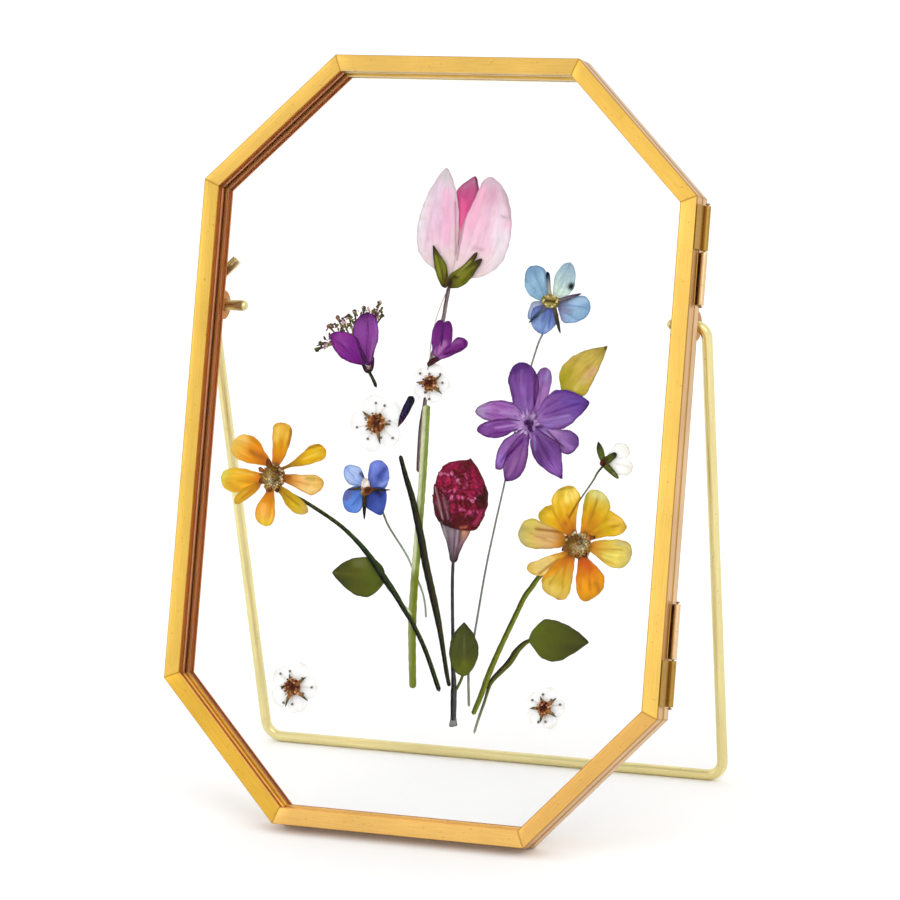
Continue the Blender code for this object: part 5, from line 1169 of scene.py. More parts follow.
ink_petal = dried_plant("pressed_blue_petal", 0.36, 0.18, 0.15, 0.65, 0.28)
ink_rim = ("#2E3670", 0.3, 0.75)
petals = [
    petal(
        (-17, 88.6), (-23.2, 93), (0.8, 1.6, 2.6, 2.2, 1.2), (0.8, 1.6, 2.6, 2.1, 1.3), NEAR - 0.1,
        "#6A7AB4 #8CA4DC #A8BDEC #AEC4F2 #8CA6E0",
        [(-18.6, 91.6, -17.8, 91, 0.9, "#2E385C", 0.95), (-20.4, 90.6, -22, 92, 0.35, "#7084C8", 0.7)], ink_rim,
    ),
    petal(
        (-16.4, 87.6), (-21.8, 81.9), (0.6, 1.5, 2.5, 2.6, 1.3), (1.4, 3.1, 3.9, 3.6, 2), NEAR - 0.03,
        "#5464A8 #567AC8 #5A80D0 #628AD8 #5676C4", [
            (-21.4, 86.6, -22.2, 85.2, 1.5, "#66609A", 0.85), (-18, 86, -20.2, 83.4, 0.4, "#3C5CB0", 0.75),
            (-17.4, 84.8, -18.2, 82.8, 0.7, "#7C9EE4", 0.6),
        ], ink_rim,
    ),
    petal(
        (-15.9, 88.2), (-13, 95.3), (0.6, 1.3, 2.1, 2.4, 1.4), (2, 4.2, 4.3, 3.4, 2.2), NEAR + 0.04,
        "#4E5CA4 #5E6CB4 #6676C4 #7888D8 #6A7CD0", [
            (-13.2, 91.2, -12, 93, 1.5, "#3C4696", 0.9), (-12.6, 89, -10.2, 90.2, 0.9, "#8AA0E8", 0.85),
            (-15.4, 91, -14.6, 94, 0.4, "#8C9CE6", 0.6), (-11, 91.4, -10.4, 93.4, 0.7, "#6E80D2", 0.6),
        ], ink_rim,
    ),
    petal(
        (-15.6, 87.9), (-11.7, 81.3), (2, 3.8, 3.5, 2.2, 1), (1, 2, 2.9, 1.9, 0.8), NEAR + 0.1,
        "#2E3880 #3A4894 #3E4E9C #4658AC #36448C", [
            (-13.4, 87.2, -12.4, 86.6, 1.2, "#2A2A58", 0.9), (-13.8, 86, -12.4, 83.2, 0.4, "#5A6CC0", 0.7),
            (-11, 86.4, -10.6, 84.4, 0.6, "#4E60B8", 0.6),
        ], ink_rim,
    ),
    disc(-16.4, 87.9, 1.4, NEAR - 0.16, "#4A5494 #4A5494"),
]
lay("blue_four", petals, ink_petal, "blue_petals")
spike = (0.32, 0.38, 0.34, 0.24, 0.12)
middle = [
    petal(
        (-17.8, 86.4), (-14.4, 88), (0.4, 0.9, 1.1, 0.9, 0.4), None, TOP, "#8A6434 #6A3E10 #5A3208 #7A5020",
        [(-18.2, 87, -17.4, 87, 0.8, "#D8B888", 0.9), (-17.4, 86.6, -14.8, 87.9, 0.3, "#3A1C04", 0.9)],
        ("#8A6434", 0.26, 0.7), grid=(20, 20),
    ),
    petal(
        (-16.4, 87), (-17, 90.6), (0.8, 1.2, 1.2, 1, 0.5), None, TOP - 0.12, "#D8C8A8 #E8DCD0 #EEE4DA #D8C8B8",
        [(-16.8, 89.4, -16.6, 90.2, 0.35, "#A08C70", 0.7)], ("#A08A70", 0.24, 0.7), grid=(20, 20),
    ),
    petal(
        (-16.8, 86.8), (-16.2, 79.8), (0.5, 0.6, 0.6, 0.4, 0.2), (0.5, 0.6, 0.5, 0.4, 0.2), TOP - 0.05,
        "#4A3A20 #3E3A28 #2E2E24 #26281E", rim=("#1A1A12", 0.2, 0.6), grid=(20, 14),
    ),
    petal((-15.4, 87.6), (-9.4, 87.9), spike, None, TOP - 0.08, "#4A3A20 #343428 #26281E", grid=(18, 12)),
    petal((-17.2, 88), (-21.6, 87.2), spike, None, TOP - 0.08, "#5A4A30 #4A4434 #3A3828", grid=(18, 12)),
]
lay("blue_middle", middle, dry_centre, "blue_centre")
route = [
    (-12.6, 83.2), (-10.6, 79.3), (-8.5, 76.5), (-6, 73.5), (-4, 70.8), (-1.8, 67), (0.6, 62.7), (1.8, 59),
    (2.3, 55.8),
]
lay(
    "blue_thin_stem", [stalk(route, 0.55, BACK, "#5E6450 #8A9280 #9AA090 #8C9484", thick=0.3)], stem_skin,
    "blue_stem",
)

# ---------------- the dark thin stem
# A bare stem, dried nearly black, painted greener on the half towards the light and darker on the
# other half, as painted shade.

route = [
    (-7.9, 97), (-5.8, 91.5), (-3.6, 86.3), (-1.8, 81), (0, 75.5), (1.5, 70), (5.5, 58), (7.3, 52), (9.9, 42),
    (10.9, 38.9),
]
dark = stalk(
    route, (1.1, 1.6, 1.9, 2.1, 1.9, 1.3, 1), NEAR, "#201E16 #28261A #2E2C1E #343022 #2C2A20",
    # painted shade: this stem's half towards the light is lighter, the other darker
    sides=("#4A482E", "#16140E", 0.5),
)
lay("dark_bare_stem", [dark], stem_skin, "dark_stem")

# ---------------- the crimson bud, its stem and small leaf
# Ruffled crimson petals pressed in overlapping folds above a mauve grey calyx; the stem flares grey
# where it was torn off. A small leaf on its own stalk lies beside it.

velvet_petal = dried_plant("pressed_velvet_petal", 0.34, 0.26, 0.1, 0.68, 0.3)
wine = "#560A20 #78103A #98164C #A01A50 #86143E #64102E"
# painted light and shade on the head: pink highlights at the upper left and in the middle, and dark shade at the
# right, the left, the bottom and the top; the other touches are its own colours
wine_touches = [
    (6.6, 91.6, 7.6, 94.6, 2, "#B83060", 0.85), (9.2, 88.4, 9.8, 92.2, 1.6, "#C04A70", 0.8),
    (11, 84.4, 11.6, 90, 1.8, "#A82040", 0.8), (15.8, 85.4, 16.8, 90.4, 2.2, "#3A0614", 0.95),
    (8.4, 81.8, 13.4, 82.2, 1.4, "#4C0A1A", 0.85), (2.6, 83.6, 3, 90, 1.8, "#520C1A", 0.85),
    (10.6, 94.8, 11, 96.6, 1, "#560A24", 0.8), (14.2, 80.6, 16, 84, 0.8, "#A84058", 0.8),
    (10.4, 79.4, 12, 79.7, 0.7, "#B06448", 0.8), (5.2, 80.4, 6.6, 79.8, 0.8, "#75666C", 0.9),
]
wine_rim = ("#2E0412", 0.5, 0.9)
head = petal(
    (8.6, 79), (11.5, 97.3), (4, 5.8, 7.1, 7.8, 7.9, 7.3, 5.3, 0.7), (4.9, 6.6, 7.3, 7.6, 7, 5, 2.9, 0.9), NEAR - 0.3,
    wine, wine_touches, wine_rim, ragged=0.07, grid=(56, 70), bow=0.1,
)
fold_touches = [
    (5.6, 81.4, 2.9, 89.2, 0.4, "#A8808A", 0.85), (7.2, 81.4, 5.2, 87.4, 0.35, "#96707A", 0.8),
    (6.4, 81.2, 4, 88.4, 0.4, "#3A1018", 0.8),
]
left_fold = petal(
    (7, 79.6), (2.6, 90.2), (0.9, 1.5, 1.6, 1.2, 0.6), (1, 2, 2.3, 1.7, 0.8), NEAR + 0.52,
    "#3E2428 #5A3038 #6E4048 #5A1E2C #4A1420", fold_touches, ("#2A0810", 0.34, 0.85), ragged=0.1,
)
ruffles = [head, left_fold]
bright = "#AE1C4C #8A1238 #C84C78 #9C1442 #6E0A2A #CC6A90 #B83058".split()
shaded = "#681230 #540A20 #861A3E #5E1026 #4C0A1A #9A3454 #70142E".split()
for k in range(150):  # the crumpled frill, in small folds at the golden angle over the head
    out, way = sqrt((k + 0.5) / 150), GOLDEN_ANGLE * k
    reach_x = 6.9 if cos(way) < 0 else 6.6 - 1.6 * max(0.0, sin(way))
    reach_h = 7.3 if sin(way) > 0 else 7.4
    x = 9.5 + reach_x * out * cos(way) + 0.3 * sin(5.1 * k)
    h = 87.9 + reach_h * out * sin(way) + 0.3 * sin(3.7 * k)
    lean_way, long = way + 1.2 + 1.3 * sin(2.9 * k), 0.72 + 0.3 * sin(4.3 * k)
    lean = long * np.array((cos(lean_way), sin(lean_way)))
    full = tuple(long * share for share in (0.25, 0.5, 0.62, 0.6, 0.36))
    slim = tuple(long * share for share in (0.2, 0.3, 0.42, 0.46, 0.3))
    # painted shade: folds at the right, the bottom and the top of the head take the darker, shaded palette
    tones = shaded if (x > 14.2 and 85.2 < h < 91.5) or h < 82.3 or (x > 9.8 and h > 94.2) else bright
    look = {"dyes": f"#5A0820 {tones[k % 7]} {tones[k % 7]} {tones[(k * 3 + 2) % 7]}", "rim": ("#3A0414", 0.14, 0.6)}
    spot, front = np.array((x, h)), NEAR + 0.42 + 0.03 * (k % 5)
    ruffles.append(petal(spot - lean, spot + lean, full, slim, front, **look, ragged=0.3, grid=(12, 12), bow=0.2))
lay("crimson_ruffles", ruffles, velvet_petal, "crimson_bud")
mauve_rim = ("#2E2428", 0.4, 0.85)
cup = [
    petal(
        (9, 70.4), (4.6, 81.2), (0.7, 0.5, 0.3, 0.5, 0.5), (0.6, 1.1, 1.8, 2, 1.2), MID - 0.1,
        "#3E3438 #6A6068 #857A80 #8E8288 #6A5A60",
        [(6.4, 76.4, 5.4, 79.6, 0.4, "#A89CA0", 0.8), (7.2, 75, 6.6, 78.6, 0.35, "#544450", 0.7)], mauve_rim,
        ragged=0.1,
    ),
    petal(
        (9, 70.4), (12.9, 80.6), (0.6, 1.1, 1.8, 2, 1.2), (0.7, 0.5, 0.5, 0.8, 0.7), MID,
        "#3E3438 #6A5058 #8A6A6C #B88470 #8A4A3C",
        [(11, 78, 11.8, 79.4, 1.1, "#D29A7E", 0.85), (10, 75, 10.6, 78.6, 0.35, "#5A3C42", 0.7)], mauve_rim,
        ragged=0.1,
    ),
    petal(
        (9, 70), (8.5, 81.4), (0.6, 1, 1.4, 1.6, 1.2), (0.6, 0.9, 1.3, 1.5, 1), MID + 0.12,
        "#3A3034 #6E5A64 #86707C #93808A #7A5A68",
        [(8.8, 72, 8.8, 79, 0.35, "#4E4048", 0.7), (9.4, 75, 9.6, 79.6, 0.35, "#A8929E", 0.7)], ("#4A3840", 0.3, 0.7),
        ragged=0.1,
    ),
]
lay("crimson_cup", cup, sepal_skin, "crimson_calyx")
route = [(8.9, 70.6), (9.1, 66), (9.8, 58), (10.4, 52), (11, 45), (11.7, 40), (12, 36), (12.4, 30)]
black_stem = stalk(
    route, (0.9, 0.9, 0.9, 1, 1.3, 1.7, 1.5), MID, "#463A40 #38343A #343238 #3A3830 #4A4640",
    # painted shade: this stem's half towards the light is lighter, the other darker
    sides=("#5A5660", "#242226", 0.5),
)
torn = petal(
    (12.1, 33), (12.6, 28.7), (0.4, 0.6, 0.8, 1.1, 1), None, MID + 0.06, "#3A3A3C #525252 #707070 #8A8884 #6E6A66",
    rim=("#2E2E30", 0.25, 0.7), ragged=0.12, grid=(22, 18),
)
lay("crimson_black_stem", [black_stem, torn], stem_skin, "crimson_stem")
small_leaf = petal(
    (14.7, 41.8), (13.6, 55.4), (2.2, 3.7, 4.1, 3.2, 1.2), (1.6, 3.3, 4, 2.9, 1), NEAR + 0.05,
    "#5E641C #565C1E #4E5226 #4C5028 #464A24 #3A3C1C", [
        (13.4, 43.4, 14.6, 45, 1.3, "#66701E", 0.7), (11.6, 49, 12.6, 52, 1, "#585C34", 0.6),
        (16.4, 47, 16.6, 50, 0.9, "#40441E", 0.6),
    ], ("#20280E", 0.34, 0.85), (1.5, 0.7, "#6E744A", 0.4), grid=(70, 70),
)
own_stalk = stalk(
    [(14.6, 43.6), (13.9, 40.8), (12.6, 37.8)], 0.75, NEAR - 0.05, "#4A5620 #55602C #3E4828",
    # painted shade: this stalk's half towards the light is lighter, the other darker
    sides=("#6A7640", "#2E3618", 0.4),
)
lay("small_veined_leaf", [small_leaf, own_stalk], leaf_skin, "small_leaf")

# ---------------- the large purple bloom
# Nine overlapping petals round a dark heart. The hind ones dried pinker, the front ones
# blue purple, and pressing left dark folds; their wide dark rims are also painted shade where one
# lies over another.

purple_rim = ("#3E2450", 0.55, 0.95)
petals = [
    petal(
        (28, 108.5), (30.2, 121.5), (0.8, 1.5, 2, 2, 1.3), (0.8, 1.9, 2.6, 2.6, 1.8), NEAR - 0.26,
        "#6A3A7A #9A66AC #A874B4 #A072B2 #8A62A4 #7A5088",
        [(30.6, 118.4, 31.2, 120.4, 1, "#9A86BC", 0.8), (29.2, 112, 29.6, 118, 0.4, "#7A4C8C", 0.7)],
        ("#643A72", 0.36, 0.8),
    ),
    petal(
        (28.5, 105.9), (40.9, 102.3), (0.8, 1.6, 2, 2.6, 1.8), (0.8, 1.4, 2.2, 3.5, 2.5), NEAR - 0.2,
        "#5A2E72 #9470B2 #B084C4 #9A70B0 #80589A #6E4A8A",
        [(32, 105.4, 36.6, 101.6, 0.5, "#3E1C54", 0.85), (36.4, 103, 39, 101.2, 0.9, "#A884C4", 0.6)], purple_rim,
    ),
    petal(
        (26.8, 108), (23.1, 122.4), (1, 3.3, 3.6, 3.8, 2.2), (1, 2.6, 4.2, 4.1, 2.4), NEAR - 0.02,
        "#9064AE #8C60AA #80529A #7C4E96 #6C4288 #523070", [
            (28.2, 111.6, 27.6, 119.4, 0.8, "#56265E", 0.9), (25.6, 110, 24.6, 116, 1.2, "#8E66B4", 0.7),
            (22.4, 113, 21.6, 118, 0.5, "#6A4090", 0.7), (24.2, 115, 23.8, 121, 0.4, "#9470B8", 0.6),
            (26.2, 113, 25.8, 120, 0.35, "#5E3884", 0.6), (21, 119.6, 25, 121.6, 0.8, "#4F2F70", 0.7),
        ], purple_rim, grid=(50, 56),
    ),
    petal(
        (28.2, 107.2), (43, 113.2), (1.2, 4.3, 5.9, 4.4, 1.6), (1, 3.1, 4.1, 2.7, 1.2), NEAR + 0.06,
        "#9A74B2 #8C60A6 #7E5498 #78529A #6C4898 #4C2C6A", [
            (32, 106.8, 38, 108.6, 1.6, "#9070B8", 0.75), (36, 112.6, 41, 113.6, 1.6, "#66489C", 0.7),
            (31, 109.4, 40, 112.6, 0.45, "#54307E", 0.75), (31, 108, 38, 109.6, 0.4, "#A486C6", 0.7),
            (31.6, 111.6, 36, 114.4, 0.45, "#5C3888", 0.7), (33, 115.2, 39, 115.4, 0.9, "#583484", 0.7),
        ], ("#40205A", 0.42, 0.85), grid=(50, 60),
    ),
    petal(
        (25.9, 107.9), (12, 109.3), (0.8, 1.5, 2, 1.8, 1), (1.5, 3.5, 3.9, 3.1, 1.5), NEAR + 0.02,
        "#B890D0 #A478BC #A068B0 #A46AB4 #A87CB8 #A890B8", [
            (24.6, 108.8, 19, 109.6, 0.6, "#C09AD6", 0.75), (22.6, 110.6, 17, 111.4, 0.5, "#84509A", 0.7),
            (20, 108.4, 15, 108.8, 0.45, "#7C4894", 0.7), (14.4, 109.4, 12.8, 109.6, 1, "#AC94BE", 0.8),
            (23, 111.6, 19, 112.4, 0.6, "#9260A8", 0.6),
        ], purple_rim, grid=(46, 48),
    ),
    petal(
        (25.9, 106.8), (12.9, 104.4), (1, 1.6, 2.6, 2.3, 1), (0.8, 1.8, 2.2, 2, 1.3), NEAR + 0.1,
        "#AA84C4 #8E5CA4 #7E4894 #7A4290 #84509A #6A3880", [
            (24.4, 106.6, 18, 105.4, 0.45, "#B890D0", 0.8), (21.6, 104.6, 16, 103.4, 0.4, "#5C2C74", 0.8),
            (20, 107, 15, 106, 0.45, "#9660AC", 0.7),
        ], purple_rim, grid=(46, 48),
    ),
    petal(
        (26.5, 105.6), (18.9, 95), (0.8, 1.5, 2.2, 1.6, 1.4), (0.9, 2, 3, 2.3, 0.9), NEAR + 0.02,
        "#7A4A90 #9A6AB0 #8E5EA4 #9466AA #9A6CC0 #84589C",
        [(19.6, 98.6, 19.4, 96.6, 0.9, "#A67ACA", 0.8), (24.6, 103.6, 20.2, 97, 0.5, "#5A2474", 0.8)], purple_rim,
    ),
    petal(
        (26.9, 105.4), (21.9, 92), (1, 2, 3.2, 3.4, 1.9), (1, 2, 2.5, 2.4, 0.9), NEAR + 0.16,
        "#6A3A80 #7E4E92 #8A5A96 #865496 #7A4A8C #643878", [
            (25.6, 102.6, 20.6, 96.8, 0.9, "#521E6C", 0.9), (24.6, 98, 22.6, 93.6, 1, "#96689E", 0.7),
            (26, 101.6, 24.4, 95, 0.4, "#66387C", 0.7), (21.4, 95.4, 20.6, 93.8, 0.7, "#A680B2", 0.6),
        ], purple_rim, grid=(46, 48),
    ),
    petal(
        (28, 106), (37.3, 93.4), (1, 2.3, 3.9, 2.4, 0.8), (0.9, 2.9, 3.6, 2.4, 0.8), NEAR + 0.22,
        "#8A5EA4 #78508E #6A4280 #74498E #8656A2 #5A3674", [
            (34.2, 97.2, 36, 95, 1.3, "#8E62B4", 0.85), (29.4, 104, 34.6, 96.6, 0.4, "#482868", 0.8),
            (31.6, 103, 35.6, 98.6, 0.5, "#7C56A2", 0.6), (29.2, 101.4, 31.6, 96.6, 0.9, "#553070", 0.7),
            (28.8, 103.6, 29.4, 100.6, 0.6, "#9A7CC0", 0.6),
        ], ("#32194A", 0.4, 0.85), grid=(46, 50),
    ),
    disc(27, 106.6, 3.6, NEAR - 0.3, "#8A5CA0 #8E62A4 #8A5CA0"),
]
streaks, origin = ("#D2B4DE", "#B48AC6", "#BE9AD0", "#9468AC"), np.array((27.2, 106.9))
for k in range(26):  # pale streaks at the petals' bases
    way, out = GOLDEN_ANGLE * k, 3.6 + 1.5 * sin(2.3 * k)
    reach = np.array((cos(way), sin(way)))
    base, tip, front = origin + reach * 0.5, origin + reach * out, NEAR + 0.3 + 0.02 * (k % 4)
    half = tuple((0.34 + 0.1 * sin(3.1 * k)) * share for share in (0.6, 1, 1, 0.8, 0.4))
    dyes = f"#5A2E6C #A27CB8 {streaks[k % 4]} #9C72B2 #8A5EA2"
    petals.append(petal(base, tip, half, None, front, dyes, ragged=0.2, thick=0.12, grid=(16, 10)))
lay("purple_nine", petals, satin_petal, "purple_petals")
ink = "#3A1C48 #4A2858 #563064 #3A1C48"
middle = [
    petal(
        (25.9, 107.2), (28.6, 106.9), (0.5, 0.7, 0.9, 0.8, 0.5), (0.5, 0.8, 0.9, 0.8, 0.5), TOP - 0.1, ink,
        [(26.6, 107.3, 27.2, 107, 0.7, "#30143E", 0.9)], ("#7A5490", 0.3, 0.7), ragged=0.25, grid=(22, 22),
    ),
    petal(
        (27.4, 107.8), (28.8, 109.6), (0.4, 0.7, 0.8, 0.7, 0.4), (0.4, 0.6, 0.7, 0.6, 0.4), TOP - 0.04,
        "#6A4478 #9A80A8 #A890B4 #8A6C9A", rim=("#6A4A7C", 0.24, 0.6), ragged=0.2, grid=(20, 20),
    ),
    petal(
        (27.2, 106.8), (28.2, 104.8), (0.4, 0.5, 0.6, 0.5, 0.3), (0.4, 0.6, 0.7, 0.5, 0.3), TOP,
        "#4A2858 #3E1C4C #5A3468", rim=("#3A1C48", 0.2, 0.6), ragged=0.2, grid=(20, 20),
    ),
    disc(25.6, 108.6, 0.5, TOP - 0.1, "#C8ACD8 #B894CC", grid=(8, 10)),
    disc(26.6, 104.6, 0.5, TOP - 0.1, "#C8ACD8 #B894CC", grid=(8, 10)),
]
lay("purple_heart", middle, satin_petal, "purple_centre")

# ---------------- the pale blue bloom and its long stem
# Five thin petals with fine darker veins, narrow dry sepals over them, and a slit ring at the
# middle. One grey green thread of a stem runs down to the foot of the bunch.

veined_petal = dried_plant("pressed_veined_blue_petal", 0.3, 0.2, 0.12, 0.68, 0.25)
fan = (1.1, 0.25, "#5C7FA4", 0.3)
petals = [
    petal(
        (29.2, 138.4), (24.3, 133.6), (0.8, 1, 1, 0.9, 0.6), (0.9, 1.6, 2.6, 1.8, 0.9), MID - 0.12,
        "#7C86A8 #9AA4C4 #A8B0CC #A4B2CE #8898BC", [(25.6, 135.6, 26.6, 137.2, 1.1, "#B6BAD2", 0.7)],
        ("#4C5C84", 0.3, 0.7),
    ),
    petal(
        (29.2, 138.2), (23.6, 147), (1, 2.8, 3.7, 3, 1.6), (0.8, 1.5, 2.9, 3.2, 1.7), MID - 0.06,
        "#6E8CA8 #84A8C4 #8FB4CE #96BCD6 #86A8C6 #7698B8", [
            (27.6, 141, 24.8, 146, 0.4, "#5E86AA", 0.7), (26, 140.6, 22.8, 143.6, 0.35, "#6488AC", 0.6),
            (28.6, 142, 27.6, 146.4, 0.4, "#6A90B0", 0.6), (24.4, 138.6, 22.6, 141.4, 0.9, "#A6C4DC", 0.6),
        ], ("#4E6E90", 0.32, 0.75), fan, grid=(44, 48),
    ),
    petal(
        (31, 139), (34.6, 148.4), (0.8, 1.5, 2.3, 2.1, 1.2), (1.6, 3.2, 3.6, 2.8, 1.5), MID,
        "#DCE8E0 #D8ECDC #C4DAD6 #B4CCCE #A4BCCA #92AAB8", [
            (35.3, 142.3, 35.4, 142.4, 1.5, "#10141A", 0.9), (35.3, 142.3, 35.4, 142.4, 1.3, "#060A10", 1),
            (32.6, 142, 33.6, 147, 0.4, "#8CAEC0", 0.6), (34.6, 143, 36, 146.4, 0.35, "#94B0C0", 0.5),
        ], ("#6E8898", 0.3, 0.7), fan, grid=(44, 48),
    ),
    petal(
        (32, 137.8), (41, 136.6), (0.8, 2, 2.9, 3.1, 2.1), (1.6, 4.2, 4.3, 3.3, 1.9), MID + 0.06,
        "#6A6088 #8890B4 #96AED0 #9CBCDA #90B4D4 #7A9CC0", [
            (33.4, 136.4, 35.6, 135.6, 1.2, "#80809E", 0.7), (35.6, 139, 39.6, 139, 1.3, "#A8C4DE", 0.8),
            (35, 134.6, 39, 134.4, 1.4, "#88ACCA", 0.7), (34, 137.6, 40, 137.2, 0.4, "#6286AA", 0.7),
            (34.4, 135.6, 38.6, 133.6, 0.35, "#6286AA", 0.6),
        ], ("#4E6E94", 0.34, 0.8), fan, grid=(44, 52),
    ),
    petal(
        (30.2, 137.4), (28.5, 129.8), (1.5, 2.8, 3, 2.1, 1), (2, 4.3, 4.4, 3.8, 2.2), MID + 0.12,
        "#5A5C9A #6A74B4 #6E80BC #7C94CA #88A0D0 #6A82B4", [
            (28, 135.6, 26.4, 132, 0.9, "#8EA6D6", 0.7), (30.4, 136, 30.2, 131.6, 0.45, "#4E5CA0", 0.8),
            (31.4, 134.6, 32, 132, 0.8, "#6672B0", 0.7), (28.8, 135.6, 28.4, 131, 0.35, "#566AAC", 0.6),
        ], ("#3E4E84", 0.34, 0.8), fan, grid=(44, 52),
    ),
    disc(30.5, 138.2, 1.9, MID - 0.15, "#7C86A8 #7C86A8"),
]
lay("pale_blue_five", petals, veined_petal, "pale_blue_petals")
sepals = [
    petal(
        (30.4, 138.2), (28.8, 145.8), (0.4, 0.5, 0.45, 0.6, 0.5), None, NEAR,
        "#8A7A60 #B8AC98 #A8A296 #8A8C8C #3A4858 #26303E", [(28.9, 145, 28.9, 145.2, 0.75, "#26303E", 0.95)],
        ("#5A5450", 0.2, 0.6), grid=(26, 16),
    ),
    petal(
        (30.8, 138), (38.6, 140.6), (0.4, 0.5, 0.5, 0.4, 0.2), (0.4, 0.6, 0.7, 0.5, 0.25), NEAR + 0.05,
        "#8A7A60 #7A7478 #6A6470 #5A5466 #3E3A4A", rim=("#332E3A", 0.2, 0.6), grid=(26, 16),
    ),
    petal(
        (31, 138.4), (33.7, 130.2), (0.4, 0.5, 0.5, 0.4, 0.2), (0.4, 0.6, 0.6, 0.5, 0.25), NEAR + 0.1,
        "#8A7A60 #5E5A50 #4A4438 #3E3A30 #2E2C26", rim=("#2A261E", 0.2, 0.6), grid=(26, 16),
    ),
    petal(
        (30.6, 138.2), (24.9, 132.5), (0.35, 0.45, 0.4, 0.35, 0.2), (0.35, 0.45, 0.5, 0.45, 0.25), NEAR + 0.15,
        "#8A7A60 #6A6C74 #4E5A6C #3A4A60 #2A3850", rim=("#26303E", 0.2, 0.5), grid=(26, 16),
    ),
]
lay("pale_blue_narrow_sepals", sepals, sepal_skin, "pale_blue_sepals")
middle = [petal(
    (28, 138.8), (33, 138), (0.7, 1.3, 1.6, 1.4, 0.7), (0.8, 1.5, 1.9, 1.6, 0.9), TOP - 0.1,
    "#8A7A3C #A09050 #B0A05C #9A8A48 #7A6A30", [
        (28.8, 138.4, 32.2, 138.1, 0.75, "#2E2000", 0.95), (31.3, 139.8, 31.8, 139.9, 0.7, "#EEE2C0", 0.9),
        (29.4, 136.9, 31.4, 136.7, 0.5, "#C8BA78", 0.7),
    ], ("#5E501E", 0.28, 0.7), ragged=0.1, grid=(30, 30),
)]
anther_shades = ("#C8B870", "#8A7832", "#E0D6A0")
for k in range(18):  # a ring of tiny dry anthers
    way, shade = 2 * pi * k / 18 + 0.2, anther_shades[k % 3]
    x = 30.5 + (2.0 + 0.25 * sin(k * 2.1)) * cos(way)
    h = 138.3 + (1.35 + 0.2 * sin(k * 3.3)) * sin(way)
    middle.append(disc(x, h, 0.28, TOP + 0.02, f"{shade} {shade}", thick=0.3, grid=(7, 8)))
lay("pale_blue_slit_ring", middle, dry_centre, "pale_blue_centre")
route = [
    (28.9, 132), (28.3, 130), (27.3, 127.5), (25.8, 121.5), (24.6, 115), (22.5, 103), (21.2, 92.5), (19.4, 81),
    (17.7, 69), (16.3, 55), (15.4, 46), (15.3, 42), (16.1, 34.1),
]
thread = stalk(
    route, (0.5, 0.5, 0.45, 0.5, 0.6, 0.7), BACK, "#7A8478 #828A7E #747C70 #626860 #5E6458 #74806A",
    # painted shade: this stem's half towards the light is lighter, the other darker
    sides=("#9CA496", "#4E5650", 0.45), thick=0.3,
)
lay("long_thread_stem", [thread], stem_skin, "long_thin_stem")

# ---------------- the olive leaf
# A leaf gone yellow olive, with a tan pink patch near its middle and a dark end to its stalk.

leaf = petal(
    (35.5, 114), (46.3, 127.6), (2, 5.3, 5.4, 3.5, 1), (2, 4, 3.2, 1.9, 0.7), MID + 0.02,
    "#A89A3C #B8A43C #C4A84A #C8AC54 #BCA450 #8A7A38", [
        (40.6, 118.6, 43.4, 121.4, 1.6, "#D2A67C", 0.85), (34.6, 117, 36.6, 121, 1.7, "#A49C28", 0.8),
        (38.6, 116.4, 41, 119, 1.4, "#D2C262", 0.7), (46, 127, 46.4, 127.8, 0.7, "#4A3A1C", 0.95),
        (39.4, 122, 42, 125, 1.3, "#CDB450", 0.6), (36.8, 121.6, 38.6, 123.6, 0.9, "#B4A240", 0.7),
    ], ("#8E8040", 0.36, 0.75), (1.6, 0.75, "#9C8C3C", 0.4), grid=(84, 80),
)
lay("olive_veined_leaf", [leaf], leaf_skin, "olive_leaf")

# ---------------- the white bud
# A half open bud: two faint cream petals held by olive sepals on a hair thin stem.

petals = [
    petal(
        (48.6, 98.4), (54.2, 102.4), (0.8, 1.6, 2.4, 2.4, 1.4), (0.8, 1.6, 2.2, 2, 1.2), MID - 0.05,
        "#DCD4BC #F6F2EA #FFFFFF #FBF8F2 #F0EAE0", rim=("#CFC4B4", 0.36, 0.6), ragged=0.14,
    ),
    petal(
        (48.6, 98.2), (55.6, 96.6), (0.8, 1.8, 2.6, 2.6, 1.6), (0.8, 1.6, 2, 1.8, 1), MID + 0.06,
        "#DCD4BC #F6F2EA #FFFFFF #FBF8F2 #F0EAE0", [(51, 98, 54.6, 97.4, 0.4, "#E6DED0", 0.7)],
        ("#CFC4B4", 0.36, 0.6), ragged=0.14,
    ),
]
lay("white_bud_pair", petals, white_petal, "white_bud_petals")
bud_green = "#3A3018 #565A26 #5A6230 #444A26 #30301E"
sepals = [
    petal(
        (48, 98), (46.1, 103.4), (0.4, 0.8, 1, 0.8, 0.3), (0.4, 0.8, 0.9, 0.7, 0.3), NEAR - 0.08, bud_green,
        rim=("#22240F", 0.26, 0.8), grid=(26, 20),
    ),
    petal(
        (47.7, 98.1), (51.3, 100.6), (0.5, 1, 0.9, 0.8, 0.6), (0.5, 1, 1, 0.8, 0.6), NEAR, bud_green,
        [(47.8, 98.2, 48.6, 98.8, 1, "#4A2C10", 0.8)], ("#22240F", 0.26, 0.8), grid=(26, 20),
    ),
    petal(
        (47.6, 98.3), (52.4, 94.4), (0.4, 0.8, 0.8, 0.6, 0.4), (0.5, 0.8, 0.8, 0.6, 0.4), NEAR + 0.08, bud_green,
        [(50.8, 95.6, 52.2, 94.6, 0.6, "#7E8048", 0.7)], ("#22240F", 0.26, 0.8), grid=(26, 20),
    ),
    disc(47.9, 98, 0.85, NEAR + 0.16, "#5A3414 #4A2A10 #3A200C", grid=(12, 14)),
]
lay("white_bud_sepal_cup", sepals, sepal_skin, "white_bud_sepals")
